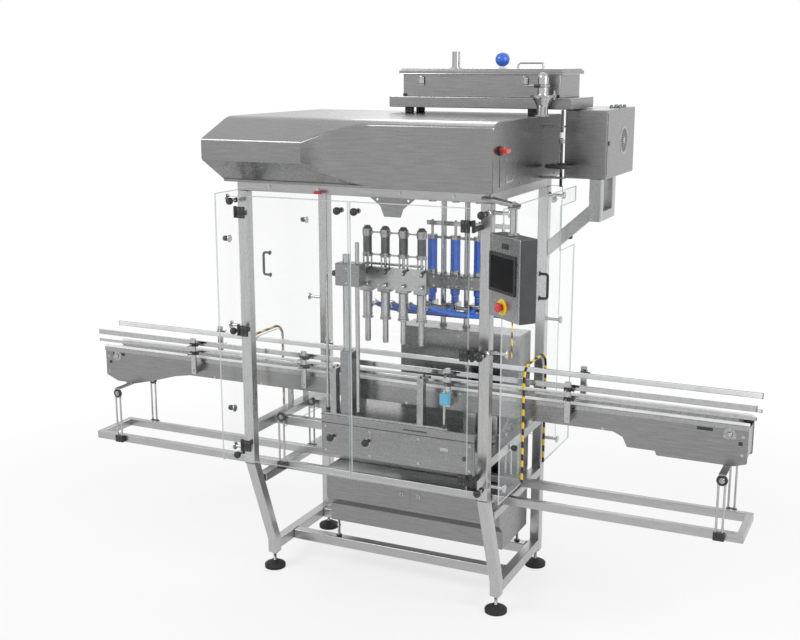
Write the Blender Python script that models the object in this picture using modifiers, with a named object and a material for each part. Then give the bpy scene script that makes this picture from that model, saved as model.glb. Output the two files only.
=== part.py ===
"""Inline four-nozzle filling machine with its slat conveyor, modelled piece by piece.

Run with: blender --background --python part.py, or from Blender's text editor.
Metres, +Z up. +X runs along the conveyor, -Y faces the operator. The origin is on the
floor, below the middle of the machine's overall box.
"""
import math

import bmesh
import bpy
from mathutils import Matrix, Vector

# Clearance between pieces that touch, and overlap of shapes welded into one piece
GAP = 0.0003
LAP = 0.0012

# Main sizes: the conveyor plates along X, and from the panel to the control box along Y
CONVEYOR_LENGTH = 3.344
OVERALL_DEPTH = 1.521

# Square-tube frame
TUBE = 0.050
TUBE_EDGE = 0.004
POST_X = 0.597
FRONT_POST_Y = -0.436
REAR_POST_Y = 0.325
POST_TOP_Z = 1.935
KNEE_Z = 0.620
FOOT_Y = -0.250
BLOCK_BOTTOM_Z = 0.085
BEAM_TOP_Z = 0.150
CROSS_BEAM_YS = (-0.075, 0.245)
SIDE_RAIL_TOP_Z = 0.810
SIDE_RAIL_HEIGHT = 0.045
BEARER_HEIGHT = 0.040

# Levelling feet
PAD_RADIUS = 0.053
PAD_HEIGHT = 0.022
PAD_DOME = 0.016
STEM_RADIUS = 0.008
NUT_RADIUS = 0.014
NUT_HEIGHT = 0.010

# Hood and the frame that it stands on
HOOD_X = 0.650
HOOD_REAR_Y = 0.380
HOOD_FRONT_Y = -0.530
HOOD_FOLD_Y = -0.480
HOOD_NOSE_Y = -0.700
HOOD_ROOF_Z = 2.272
HOOD_BOTTOM_Z = 1.982
NOSE_TOP_Z = 2.183
NOSE_BOTTOM_Z = 2.092
NOSE_RIGHT_X = -0.150
SWEEP_END_X = 0.100
UNDERSIDE_Z = 1.992
SIDE_PLATE_YS = (-0.450, -0.262)
SIDE_PLATE_ZS = (2.000, 2.126)
SWITCH_Y = -0.452
SWITCH_Z = 2.153

# Hopper on the roof
HOPPER_LEFT_X = -0.130
HOPPER_RIGHT_X = 0.775
HOPPER_FRONT_Y = 0.130
HOPPER_REAR_Y = 0.480
HOPPER_TRAY_Z = 2.300
HOPPER_TRAY_HEIGHT = 0.050
HOPPER_INSET = 0.062
HOPPER_TANK_HEIGHT = 0.103
HOPPER_WALL = 0.004
LID_HEIGHT = 0.026
LID_OVERHANG = 0.014
VENT_RADIUS = 0.019
VENT_HEIGHT = 0.080
VENT_BALL_RADIUS = 0.034

# Control box behind the right end of the hood
BOX_LEFT_X = 0.710
BOX_RIGHT_X = 0.908
BOX_FRONT_Y = 0.250
BOX_REAR_Y = OVERALL_DEPTH / 2
BOX_BOTTOM_Z = 1.982
BOX_TOP_Z = 2.296

# Hand valve at the hood's right side
WHEEL_X = 0.735
WHEEL_Y = 0.125
WHEEL_Z = 2.040
WHEEL_RADIUS = 0.075
SPINDLE_RADIUS = 0.007

# Conveyor
PLATE_FRONT_Y = -0.165
PLATE_REAR_Y = -0.015
PLATE_THICKNESS = 0.003
PLATE_TOP_Z = 1.004
PLATE_DEEP_Z = 0.842
PLATE_SHALLOW_Z = 0.925
BELT_TOP_Z = 1.020
BELT_THICKNESS = 0.004
BELT_CLEARANCE = 0.001
BELT_WIDTH = 0.114
PLATE_END_X = CONVEYOR_LENGTH / 2
SPROCKET_X = PLATE_END_X - 0.077
SPROCKET_RADIUS = 0.0335
SPROCKET_TEETH = 8
SHAFT_RADIUS = 0.010
WEAR_STRIP_TOP_Z = 1.036
RAIL_END_X = PLATE_END_X + 0.028
RAIL_OFFSET = 0.078
FRONT_RAIL_ZS = (1.062, 1.106)
REAR_RAIL_ZS = (1.050, 1.118)
POST_OFFSET = 0.046
GUIDE_ROD_RADIUS = 0.005
GUIDE_RAIL_HEIGHTS = (0.014, 0.026)
GUIDE_STATION_XS = (-1.073, -0.430, 0.330, 0.900)

# Support frame under the conveyor
TRAY_END_X = PLATE_END_X + 0.018
TRAY_FRONT_Y = -0.250
TRAY_REAR_Y = 0.030
TRAY_TOP_Z = 0.575
TRAY_HEIGHT = 0.040
TRAY_RAIL_WIDTH = 0.030
SUPPORT_STATION_XS = (-SPROCKET_X + 0.065, -0.535, 0.540, SPROCKET_X - 0.005)
ROD_RADIUS = 0.005
ROD_SPACING = 0.027
ROD_TOP_Z = 0.792

# Table and cabinet under the filling section
TABLE_LEFT_X = -0.290
TABLE_RIGHT_X = 0.500
TABLE_FRONT_Y = -0.300
TABLE_BOTTOM_Z = 0.668
TABLE_TOP_Z = 0.866
CABINET_LEFT_X = -0.360
CABINET_RIGHT_X = 0.564
CABINET_FRONT_Y = -0.130
CABINET_REAR_Y = 0.270
CABINET_BOTTOM_Z = 0.236
CABINET_FOLD_Z = 0.370
CABINET_RECESS = 0.045
CABINET_TOP_Z = 0.533
DRIVE_LEFT_X = -0.060
DRIVE_FRONT_Y = 0.110
DRIVE_TOP_Z = 1.240

# Filling section
NOZZLE_COUNT = 4
NOZZLE_PITCH = 0.094
NOZZLE_Y = -0.090
NOZZLE_TIP_Z = 1.195
NOZZLE_FLANGE_Z = NOZZLE_TIP_Z + 0.115
NOZZLE_BODY_Z = NOZZLE_TIP_Z + 0.250
NOZZLE_BLOCK_Z = NOZZLE_BODY_Z + 0.115
NOZZLE_CYLINDER_Z = NOZZLE_BLOCK_Z + 0.050
NOZZLE_TOP_Z = NOZZLE_CYLINDER_Z + 0.135
NOZZLE_TIP_RADIUS = 0.014
NOZZLE_SLEEVE_RADIUS = 0.023
NOZZLE_BORE = 0.010
NOZZLE_INLET_Z = NOZZLE_BODY_Z - 0.073
SHUTOFF_ROD_RADIUS = 0.0065
LIFT_X = -0.160
LIFT_Y = -0.255
LIFT_RADIUS = 0.019
LIFT_POST_X = -0.108
LIFT_POST_TOP_Z = 1.700
DOSING_COUNT = 4
DOSING_PITCH = 0.122
DOSING_LEFT_X = 0.072
DOSING_Y = 0.195
DOSING_BOTTOM_Z = 1.498
DOSING_TOP_Z = DOSING_BOTTOM_Z + 0.192
DOSING_RADIUS = 0.026
DOSING_BORE = 0.021
COLUMN_RADIUS = 0.008
COLUMN_OFFSET = 0.0145
BRIDGE_HALF = 0.0055
PISTON_ROD_RADIUS = 0.007
MANIFOLD_BOTTOM_Z = DOSING_BOTTOM_Z - 0.068
BRIDGE_Z = DOSING_TOP_Z + 0.045
VALVE_Z = MANIFOLD_BOTTOM_Z - 0.090
VALVE_FRONT = 0.060

# Guards
GUARD_X = 0.700
GUARD_THICKNESS = 0.006
GUARD_FRONT_Y = -0.530
GUARD_REAR_Y = 0.490
GUARD_BOTTOM_Z = 0.645
GUARD_TOP_Z = 1.925
SLOT_FRONT_Y = -0.235
SLOT_REAR_Y = 0.045
SLOT_TOP_Z = 1.180
SLOT_CORNER = 0.060
ARCH_TUBE_RADIUS = 0.006
DOOR_Y = -0.552
DOOR_HINGE_X = 0.578
DOOR_BOTTOM_Z = 0.668
DOOR_TOP_Z = 1.925
DOOR_MEETING_GAP = 0.006
HINGE_ZS = (0.745, 1.300, 1.848)
HINGE_HEIGHT = 0.052
HINGE_RADIUS = 0.008
KNOB_RADIUS = 0.017

# Operator panel
PANEL_WIDTH = 0.230
PANEL_HEIGHT = 0.338
PANEL_DEPTH = 0.080
PANEL_TOP_Z = 1.838
PANEL_X = 0.789
PANEL_Y = -OVERALL_DEPTH / 2 + 0.1005
PANEL_TURN = math.radians(38.0)

# Colours: red, green, blue, then roughness and metallic
STEEL = (0.62, 0.62, 0.62, 0.34, 1.0)
BRIGHT = (0.82, 0.82, 0.84, 0.12, 1.0)
BLACK = (0.02, 0.02, 0.022, 0.45, 0.0)
CLEAR = (0.86, 0.90, 0.92, 0.05, 0.0)
BLUE = (0.03, 0.11, 0.46, 0.35, 0.0)
RED = (0.55, 0.03, 0.03, 0.40, 0.0)
DARK = (0.10, 0.10, 0.11, 0.45, 0.2)


# Scene and piece helpers

def clear_scene():
    """Remove every object that is in the file."""
    for old in list(bpy.data.objects):
        bpy.data.objects.remove(old, do_unlink=True)


def new_collection(name):
    """Return a fresh collection linked to the scene."""
    made = bpy.data.collections.new(name)
    bpy.context.scene.collection.children.link(made)
    return made


def principled(name, colour):
    """Return a Principled material from one of the colour tuples."""
    made = bpy.data.materials.new(name)
    made.use_nodes = True
    shader = made.node_tree.nodes["Principled BSDF"]
    shader.inputs["Base Color"].default_value = (*colour[:3], 1.0)
    shader.inputs["Roughness"].default_value = colour[3]
    shader.inputs["Metallic"].default_value = colour[4]
    return made


def plain_mesh(scratch):
    """Evaluate a scratch object to a welded bmesh and remove the object."""
    bpy.context.view_layer.update()
    graph = bpy.context.evaluated_depsgraph_get()
    mesh = bpy.data.meshes.new_from_object(scratch.evaluated_get(graph))
    made = bmesh.new()
    made.from_mesh(mesh)
    bmesh.ops.remove_doubles(made, verts=made.verts, dist=0.000002)
    bmesh.ops.recalc_face_normals(made, faces=made.faces)
    bpy.data.meshes.remove(mesh)
    bpy.data.objects.remove(scratch, do_unlink=True)
    return made


def scratch_object(name, data):
    """Link a scratch object that carries the given mesh or curve."""
    made = bpy.data.objects.new(name, data)
    bpy.context.scene.collection.objects.link(made)
    return made


def box(low, high):
    """Return a box between two corners."""
    low, high = Vector(low), Vector(high)
    size = high - low
    made = bmesh.new()
    place = Matrix.Translation((low + high) / 2) @ Matrix.Diagonal((*size, 1.0))
    bmesh.ops.create_cube(made, size=1.0, matrix=place)
    return made


def cylinder(start, end, radius, sides=16, end_radius=None):
    """Return a cylinder or cone frustum between two points."""
    start, end = Vector(start), Vector(end)
    axis = end - start
    turn = Vector((0, 0, 1)).rotation_difference(axis).to_matrix().to_4x4()
    place = Matrix.Translation((start + end) / 2) @ turn
    far = radius if end_radius is None else end_radius
    made = bmesh.new()
    bmesh.ops.create_cone(made, cap_ends=True, cap_tris=False, segments=sides,
                          radius1=radius, radius2=far, depth=axis.length, matrix=place)
    return made


def ball(centre, radius, sides=16, rings=8):
    """Return a sphere."""
    made = bmesh.new()
    bmesh.ops.create_uvsphere(made, u_segments=sides, v_segments=rings, radius=radius,
                              matrix=Matrix.Translation(centre))
    return made


def turned(profile, sides=20, closed=False, place=None):
    """Turn a profile of (radius, height) points, listed down the outer side."""
    mesh = bpy.data.meshes.new("profile")
    points = [(r, 0.0, z) for r, z in profile]
    links = [(i, i + 1) for i in range(len(points) - 1)]
    if closed:
        links.append((len(points) - 1, 0))
    mesh.from_pydata(points, links, [])
    scratch = scratch_object("turned", mesh)
    screw = scratch.modifiers.new("Screw", "SCREW")
    screw.steps = screw.render_steps = sides
    screw.use_merge_vertices = True
    screw.merge_threshold = 0.00001
    made = plain_mesh(scratch)
    if place is not None:
        made.transform(place)
    return made


def outline(points, thickness, place, holes=()):
    """Extrude a flat outline with holes. The sheet is centred on the plane of place."""
    data = bpy.data.curves.new("outline", "CURVE")
    data.dimensions = "2D"
    data.fill_mode = "BOTH"
    data.extrude = thickness / 2
    for loop in (points, *holes):
        spline = data.splines.new("POLY")
        spline.points.add(len(loop) - 1)
        for target, (u, v) in zip(spline.points, loop):
            target.co = (u, v, 0.0, 1.0)
        spline.use_cyclic_u = True
    made = plain_mesh(scratch_object("outline", data))
    made.transform(place)
    return made


def tube(points, radius, resolution=2):
    """Return a round bar along a smooth path through the points."""
    data = bpy.data.curves.new("tube", "CURVE")
    data.dimensions = "3D"
    data.bevel_depth = radius
    data.bevel_resolution = resolution
    data.use_fill_caps = True
    spline = data.splines.new("POLY")
    spline.points.add(len(points) - 1)
    for target, point in zip(spline.points, points):
        target.co = (*point, 1.0)
    return plain_mesh(scratch_object("tube", data))


def arc(centre, radius, start, end, steps):
    """Return points on an arc in a plane, from start to end in degrees."""
    found = []
    for i in range(steps + 1):
        angle = math.radians(start + (end - start) * i / steps)
        found.append((centre[0] + radius * math.cos(angle),
                      centre[1] + radius * math.sin(angle)))
    return found


def circle(centre, radius, steps=12):
    """Return a closed ring of points in a plane."""
    return arc(centre, radius, 0, 360 * (steps - 1) / steps, steps - 1)


def bore(centre, radius, steps=10):
    """Return a faceted hole that a round rod of the given radius runs in clear."""
    return circle(centre, (radius + GAP) / math.cos(math.pi / steps), steps)


def axes(x_axis, y_axis, z_axis, origin=(0, 0, 0)):
    """Return the matrix that takes a drawing's axes to the given directions."""
    turn = Matrix((x_axis, y_axis, z_axis)).transposed().to_4x4()
    return Matrix.Translation(origin) @ turn


def xz_plane(y):
    """Drawing plane seen from the operator's side: u is X and v is Z."""
    return axes((1, 0, 0), (0, 0, 1), (0, -1, 0), (0, y, 0))


def yz_plane(x):
    """Drawing plane seen from the right: u is Y and v is Z."""
    return axes((0, 1, 0), (0, 0, 1), (1, 0, 0), (x, 0, 0))


def xy_plane(z):
    """Drawing plane seen from above: u is X and v is Y."""
    return Matrix.Translation((0, 0, z))


def square_tube(low, high):
    """Return a tube's outside shape: a box whose four long edges are eased."""
    low, high = Vector(low), Vector(high)
    size = high - low
    along = max(range(3), key=lambda i: size[i])
    across = [i for i in range(3) if i != along]
    made = box(low, high)
    long_edges = []
    for edge in made.edges:
        run = edge.verts[1].co - edge.verts[0].co
        if abs(run[along]) > max(abs(run[i]) for i in across):
            long_edges.append(edge)
    bmesh.ops.bevel(made, geom=long_edges, offset=TUBE_EDGE, segments=1, affect="EDGES")
    return made


def united(pieces):
    """Weld overlapping solids into one body with the exact solver."""
    if len(pieces) == 1:
        return pieces[0]
    others = bpy.data.collections.new("weld")
    scratch = []
    for piece in pieces:
        mesh = bpy.data.meshes.new("piece")
        piece.to_mesh(mesh)
        piece.free()
        scratch.append(scratch_object("piece", mesh))
    for item in scratch[1:]:
        others.objects.link(item)
    weld = scratch[0].modifiers.new("Weld", "BOOLEAN")
    weld.operation = "UNION"
    weld.solver = "EXACT"
    weld.operand_type = "COLLECTION"
    weld.collection = others
    made = plain_mesh(scratch[0])
    for item in scratch[1:]:
        bpy.data.objects.remove(item, do_unlink=True)
    bpy.data.collections.remove(others)
    return made


def side_box(sign, low, high):
    """Return a box given for the right side, mirrored to the left where sign is -1."""
    xs = sorted((sign * low[0], sign * high[0]))
    return box((xs[0], *low[1:]), (xs[1], *high[1:]))


SIDES = (("left", -1), ("right", 1))


class Machine:
    """The collections that the sub-parts and cutters go to."""

    def __init__(self):
        self.parts = new_collection("filling_machine")
        self.cutters = new_collection("cutters")

    def add(self, name, pieces, colour, pivot=(0, 0, 0), smooth=True):
        """Make one named object from its solids, with its origin at the pivot."""
        solid = united(pieces)
        solid.transform(Matrix.Translation(-Vector(pivot)))
        bmesh.ops.triangulate(solid, faces=[f for f in solid.faces if len(f.verts) > 4])
        mesh = bpy.data.meshes.new(name)
        solid.to_mesh(mesh)
        solid.free()
        if smooth:
            mesh.shade_smooth()
            mesh.set_sharp_from_angle(angle=math.radians(32))
        mesh.materials.append(principled(name, colour))
        made = bpy.data.objects.new(name, mesh)
        made.location = pivot
        self.parts.objects.link(made)
        return made

    def cutter(self, name, solid):
        """Make a hidden cutter object."""
        mesh = bpy.data.meshes.new(name)
        solid.to_mesh(mesh)
        solid.free()
        made = bpy.data.objects.new(name, mesh)
        made.hide_render = True
        made.display_type = "WIRE"
        self.cutters.objects.link(made)
        return made

    @staticmethod
    def cut(target, cutter, operation="DIFFERENCE"):
        """Put a Boolean on the target, with the exact solver."""
        change = target.modifiers.new(cutter.name, "BOOLEAN")
        change.operation = operation
        change.solver = "EXACT"
        change.object = cutter


# Frame

def front_leg_outline():
    """Side outline of one front upright: post, leaning leg and bottom block."""
    half = TUBE / 2
    face = FRONT_POST_Y - half
    back = FRONT_POST_Y + half
    return [(face, POST_TOP_Z), (face, KNEE_Z), (FOOT_Y - half, BEAM_TOP_Z),
            (FOOT_Y - half, BLOCK_BOTTOM_Z), (FOOT_Y + half, BLOCK_BOTTOM_Z),
            (FOOT_Y + half, BEAM_TOP_Z + 0.004), (back, KNEE_Z + 0.012), (back, POST_TOP_Z)]


def standoff_levels():
    """Heights of the standoffs that carry the guards and the door stops."""
    return (HINGE_ZS[0] - 0.057, HINGE_ZS[1] - 0.008, HINGE_ZS[2] + 0.047)


def side_standoffs(sign, y):
    """Rods with end discs between a post and the side guard."""
    found = []
    disc = sign * (GUARD_X - GUARD_THICKNESS / 2 - GAP)
    start = sign * (POST_X + TUBE / 2 - LAP)
    for z in standoff_levels():
        found.append(cylinder((start, y, z), (disc - sign * 0.007, y, z), 0.008, 6))
        found.append(cylinder((disc - sign * 0.008, y, z), (disc, y, z), 0.019, 10))
    return found


def door_supports(sign):
    """Door stops with their balls, and the fixed hinge halves, on a front post."""
    found = []
    face = FRONT_POST_Y - TUBE / 2
    for z in standoff_levels():
        x = sign * (POST_X + 0.012)
        found.append(cylinder((x, face + LAP, z), (x, DOOR_Y + 0.014, z), 0.008, 6))
        found.append(ball((x, DOOR_Y + 0.003, z), KNOB_RADIUS, 8, 6))
    for z in HINGE_ZS:
        x = sign * DOOR_HINGE_X
        low, high = z - HINGE_HEIGHT / 2, z - GAP
        found.append(cylinder((x, DOOR_Y, low), (x, DOOR_Y, high), HINGE_RADIUS, 8))
        found.append(side_box(sign, (DOOR_HINGE_X - 0.004, DOOR_Y, low + 0.002),
                              (DOOR_HINGE_X + 0.006, face + LAP, high - 0.002)))
    return found


def build_frame(machine):
    """Uprights with their standoffs and levelling feet, and the base frame."""
    half = TUBE / 2
    rear_face = REAR_POST_Y - half - GAP
    nut = BLOCK_BOTTOM_Z - GAP
    foot = [(0.0, nut + LAP), (NUT_RADIUS, nut + LAP), (NUT_RADIUS, nut - NUT_HEIGHT),
            (STEM_RADIUS, nut - NUT_HEIGHT), (STEM_RADIUS, PAD_HEIGHT + PAD_DOME),
            (STEM_RADIUS + 0.010, PAD_HEIGHT + PAD_DOME), (PAD_RADIUS - 0.004, PAD_HEIGHT),
            (PAD_RADIUS, PAD_HEIGHT - 0.006), (PAD_RADIUS, 0.0), (0.0, 0.0)]
    for name, sign in SIDES:
        leg = outline(front_leg_outline(), TUBE, yz_plane(sign * POST_X))
        pieces = [leg] + door_supports(sign) + side_standoffs(sign, FRONT_POST_Y)
        pieces.append(turned(foot, 10, place=Matrix.Translation((sign * POST_X, FOOT_Y, 0))))
        machine.add("front_upright_" + name, pieces, STEEL)
        post = square_tube((sign * POST_X - half, REAR_POST_Y - half, BLOCK_BOTTOM_Z),
                           (sign * POST_X + half, REAR_POST_Y + half, POST_TOP_Z))
        pieces = [post] + side_standoffs(sign, REAR_POST_Y)
        pieces.append(turned(foot, 10, place=Matrix.Translation((sign * POST_X, REAR_POST_Y, 0))))
        plane = GUARD_REAR_Y - 0.023 - GAP
        for z in (HINGE_ZS[0] + 0.080, HINGE_ZS[2] + 0.010):
            start = REAR_POST_Y + half - LAP
            pieces.append(cylinder((sign * POST_X, start, z), (sign * POST_X, plane - 0.007, z), 0.008, 6))
            pieces.append(cylinder((sign * POST_X, plane - 0.008, z), (sign * POST_X, plane, z), 0.019, 10))
        machine.add("rear_upright_" + name, pieces, STEEL)

    beam_low = BEAM_TOP_Z - TUBE
    beams = []
    for _, sign in SIDES:
        beams.append(square_tube((sign * POST_X - half, FOOT_Y + half + GAP, beam_low),
                                 (sign * POST_X + half, rear_face, BEAM_TOP_Z)))
    reach = POST_X - half + 0.006
    for y in CROSS_BEAM_YS:
        beams.append(square_tube((-reach, y - half, beam_low), (reach, y + half, BEAM_TOP_Z)))
    machine.add("base_frame", beams, STEEL)


def build_top_frame(machine):
    """Beams between posts and hood, and the sheet bracket over the nozzles."""
    low = POST_TOP_Z + GAP
    high = HOOD_BOTTOM_Z - GAP
    half = TUBE / 2
    front = FRONT_POST_Y - half
    rear = REAR_POST_Y + half
    side = POST_X + half
    reach = 0.006
    beams = [
        square_tube((-side, front, low), (side, front + TUBE, high)),
        square_tube((-side, rear - TUBE, low), (side, rear, high)),
    ]
    for _, sign in SIDES:
        xs = sorted((sign * side, sign * (side - TUBE)))
        beams.append(square_tube((xs[0], front + TUBE - reach, low), (xs[1], rear - TUBE + reach, high)))
    inner = side - TUBE + reach
    for y in (DOSING_Y, NOZZLE_Y):
        beams.append(square_tube((-inner, y - 0.030, low), (inner, y + 0.030, high)))
    drop = low + 0.008
    lip, tongue = POST_TOP_Z - 0.030, POST_TOP_Z - 0.135
    sheet = [(-0.150, drop), (0.125, drop), (0.125, lip), (0.045, tongue + 0.040), (0.030, tongue),
             (-0.055, tongue), (-0.075, tongue + 0.050), (-0.150, lip)]
    beams.append(outline(sheet, 0.004, xz_plane(NOZZLE_Y + 0.004)))
    machine.add("top_frame", beams, STEEL)


# Hood, hopper and control box

def spindle_brackets():
    """Two flat brackets on the hood's side that the hand valve's spindle runs in."""
    found = []
    for z, wide in ((HOOD_BOTTOM_Z + 0.014, 0.020), (HOOD_ROOF_Z - 0.046, 0.014)):
        plan = [(HOOD_X - LAP, WHEEL_Y - wide), (WHEEL_X + wide, WHEEL_Y - wide),
                (WHEEL_X + wide, WHEEL_Y + wide), (HOOD_X - LAP, WHEEL_Y + wide)]
        hole = bore((WHEEL_X, WHEEL_Y), SPINDLE_RADIUS)
        found.append(outline(plan, 0.008, xy_plane(z), [hole]))
    return found


def build_hood(machine):
    """Folded hood with the swept nose, and the panel and plate on its right side."""
    side = [(HOOD_REAR_Y, HOOD_ROOF_Z), (HOOD_FOLD_Y, HOOD_ROOF_Z), (HOOD_NOSE_Y, NOSE_TOP_Z),
            (HOOD_NOSE_Y, NOSE_BOTTOM_Z), (HOOD_FRONT_Y, UNDERSIDE_Z),
            (HOOD_FRONT_Y, HOOD_BOTTOM_Z), (HOOD_REAR_Y, HOOD_BOTTOM_Z)]
    body = outline(side, 2 * HOOD_X, yz_plane(0.0))
    face = HOOD_X - LAP
    plate = box((face, SIDE_PLATE_YS[0], SIDE_PLATE_ZS[0]),
                (HOOD_X + 0.002, SIDE_PLATE_YS[1], SIDE_PLATE_ZS[1]))
    mount = cylinder((face, SWITCH_Y, SWITCH_Z), (HOOD_X + 0.008, SWITCH_Y, SWITCH_Z), 0.021, 12)
    hood = machine.add("hood", [body, plate, mount] + spindle_brackets(), STEEL)

    depth = HOOD_FRONT_Y - HOOD_NOSE_Y
    reach = SWEEP_END_X - NOSE_RIGHT_X
    steps = 8
    sweep = []
    for i in range(steps + 1):
        t = i / steps
        sweep.append((NOSE_RIGHT_X + reach * t, HOOD_NOSE_Y + depth * (1 - (1 - t) ** 2.0)))
    clear = 0.05
    plan = [(HOOD_X + clear, HOOD_NOSE_Y - clear), (HOOD_X + clear, HOOD_FRONT_Y)]
    plan += list(reversed(sweep))
    plan.append((NOSE_RIGHT_X, HOOD_NOSE_Y - clear))
    height = HOOD_ROOF_Z - HOOD_BOTTOM_Z + 2 * clear
    middle = (HOOD_ROOF_Z + HOOD_BOTTOM_Z) / 2
    cutter = machine.cutter("nose_sweep", outline(plan, height, xy_plane(middle)))
    machine.cut(hood, cutter)

    knob_x = HOOD_X + 0.008 + GAP
    turn = axes((0, 1, 0), (0, 0, 1), (1, 0, 0), (knob_x + 0.006, SWITCH_Y, SWITCH_Z))
    disc = outline(circle((0, 0), 0.018, 12), 0.012, turn)
    bar_turn = axes((0, 1, 0), (0, 0, 1), (1, 0, 0), (knob_x + 0.012 + 0.010 - LAP, SWITCH_Y, SWITCH_Z))
    grip = outline(arc((-0.020, 0), 0.008, 90, 270, 3) + arc((0.020, 0), 0.008, -90, 90, 3),
                   0.020, bar_turn)
    machine.add("main_switch", [disc, grip], RED, pivot=(knob_x, SWITCH_Y, SWITCH_Z))


def build_hopper(machine):
    """Drip tray, tank, hinged lid with its vent, and the draw latches."""
    tray_top = HOPPER_TRAY_Z + HOPPER_TRAY_HEIGHT
    tray = box((HOPPER_LEFT_X, HOPPER_FRONT_Y, HOPPER_TRAY_Z),
               (HOPPER_RIGHT_X, HOPPER_REAR_Y, tray_top))
    pads = []
    for x in (HOPPER_LEFT_X + 0.08, HOOD_X - 0.08):
        for y in (HOPPER_FRONT_Y + 0.06, HOOD_REAR_Y - 0.06):
            pads.append(cylinder((x, y, HOOD_ROOF_Z + GAP), (x, y, HOPPER_TRAY_Z + LAP), 0.022, 10))
    machine.add("hopper_tray", [tray] + pads, STEEL)

    left = HOPPER_LEFT_X + HOPPER_INSET
    right = HOPPER_RIGHT_X - HOPPER_INSET
    front = HOPPER_FRONT_Y + 0.022
    rear = HOPPER_REAR_Y - 0.022
    low = tray_top + GAP
    high = low + HOPPER_TANK_HEIGHT
    rim = [(left, front), (right, front), (right, rear), (left, rear)]
    wall = HOPPER_WALL
    hole = [(left + wall, front + wall), (right - wall, front + wall),
            (right - wall, rear - wall), (left + wall, rear - wall)]
    walls = outline(rim, HOPPER_TANK_HEIGHT - LAP, xy_plane((low + LAP + high) / 2), [hole])
    floor = box((left, front, low), (right, rear, low + wall))
    catches = [box((x - 0.008, front - 0.006, high - 0.050), (x + 0.008, front + LAP, high - 0.034))
               for x in latch_places()]
    machine.add("hopper_tank", [walls, floor] + catches, STEEL)

    lid_low = high + GAP
    over = LID_OVERHANG
    pivot = (0.0, rear + over + 0.006, lid_low + 0.006)
    lid = box((left - over, front - over, lid_low), (right + over, rear + over, lid_low + LID_HEIGHT))
    top_edges = [e for e in lid.edges if min(v.co.z for v in e.verts) > lid_low + 0.001]
    bmesh.ops.bevel(lid, geom=top_edges, offset=0.008, segments=2, affect="EDGES")
    lid_top = lid_low + LID_HEIGHT
    middle = (front + rear) / 2
    vent = cylinder((0.150, middle - 0.020, lid_top - LAP),
                    (0.150, middle - 0.020, lid_top + VENT_HEIGHT), VENT_RADIUS, 12)
    collar = cylinder((0.150, middle - 0.020, lid_top - LAP), (0.150, middle - 0.020, lid_top + 0.005),
                      VENT_RADIUS + 0.012, 12)
    seat = cylinder((0.385, middle - 0.020, lid_top - LAP), (0.385, middle - 0.020, lid_top + 0.012),
                    0.016, 10)
    sphere = ball((0.385, middle - 0.020, lid_top + 0.008 + VENT_BALL_RADIUS), VENT_BALL_RADIUS, 12, 8)
    machine.add("hopper_lid", [lid, vent, collar, seat, sphere], STEEL, pivot=pivot)

    for (name, _), x in zip(SIDES, latch_places()):
        face = front - 0.006 - GAP
        latch = box((x - 0.012, face - 0.004, high - 0.046), (x + 0.012, face, high - 0.012))
        machine.add("lid_latch_" + name, [latch], BRIGHT, pivot=(x, face, high - 0.046))


def latch_places():
    """X positions of the two draw latches on the tank's front."""
    return (HOPPER_LEFT_X + HOPPER_INSET + 0.100, HOPPER_RIGHT_X - HOPPER_INSET - 0.165)


def build_feed_valve(machine):
    """Clamped product pipe at the hopper's right end, and its hand valve."""
    x, y = 0.655, HOPPER_FRONT_Y - 0.052
    base = HOOD_ROOF_Z + GAP
    top = HOOD_ROOF_Z + 0.192
    flange = top - 0.098
    profile = [(0.0, top), (0.010, top - 0.001), (0.019, top - 0.008), (0.025, top - 0.020),
               (0.025, flange), (0.056, flange), (0.056, flange - 0.010), (0.046, flange - 0.010),
               (0.038, flange - 0.028), (0.025, flange - 0.050),
               (0.025, base + 0.006), (0.034, base + 0.006), (0.034, base), (0.0, base)]
    pieces = [turned(profile, 14, place=Matrix.Translation((x, y, 0)))]
    machine.add("feed_valve", pieces, BRIGHT)

    wheel_place = Matrix.Translation((WHEEL_X, WHEEL_Y, WHEEL_Z))
    rim = [(WHEEL_RADIUS, 0.012), (WHEEL_RADIUS, 0.004), (WHEEL_RADIUS - 0.006, 0.0),
           (WHEEL_RADIUS - 0.018, 0.0), (WHEEL_RADIUS - 0.022, 0.006), (0.016, 0.006),
           (0.016, 0.0), (SPINDLE_RADIUS - LAP, 0.0), (SPINDLE_RADIUS - LAP, 0.022),
           (0.016, 0.022), (0.016, 0.012), (WHEEL_RADIUS - 0.022, 0.012),
           (WHEEL_RADIUS - 0.018, 0.018), (WHEEL_RADIUS - 0.006, 0.018)]
    wheel = turned(rim, 14, True, wheel_place)
    pivot = (WHEEL_X, WHEEL_Y, WHEEL_Z)
    top = HOPPER_TRAY_Z - GAP
    spindle = cylinder((WHEEL_X, WHEEL_Y, WHEEL_Z - 0.085), (WHEEL_X, WHEEL_Y, top), SPINDLE_RADIUS, 10)
    nut = cylinder((WHEEL_X, WHEEL_Y, WHEEL_Z + 0.110), (WHEEL_X, WHEEL_Y, WHEEL_Z + 0.130), 0.013, 6)
    machine.add("handwheel", [wheel, spindle, nut], BLACK, pivot=pivot)


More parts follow.
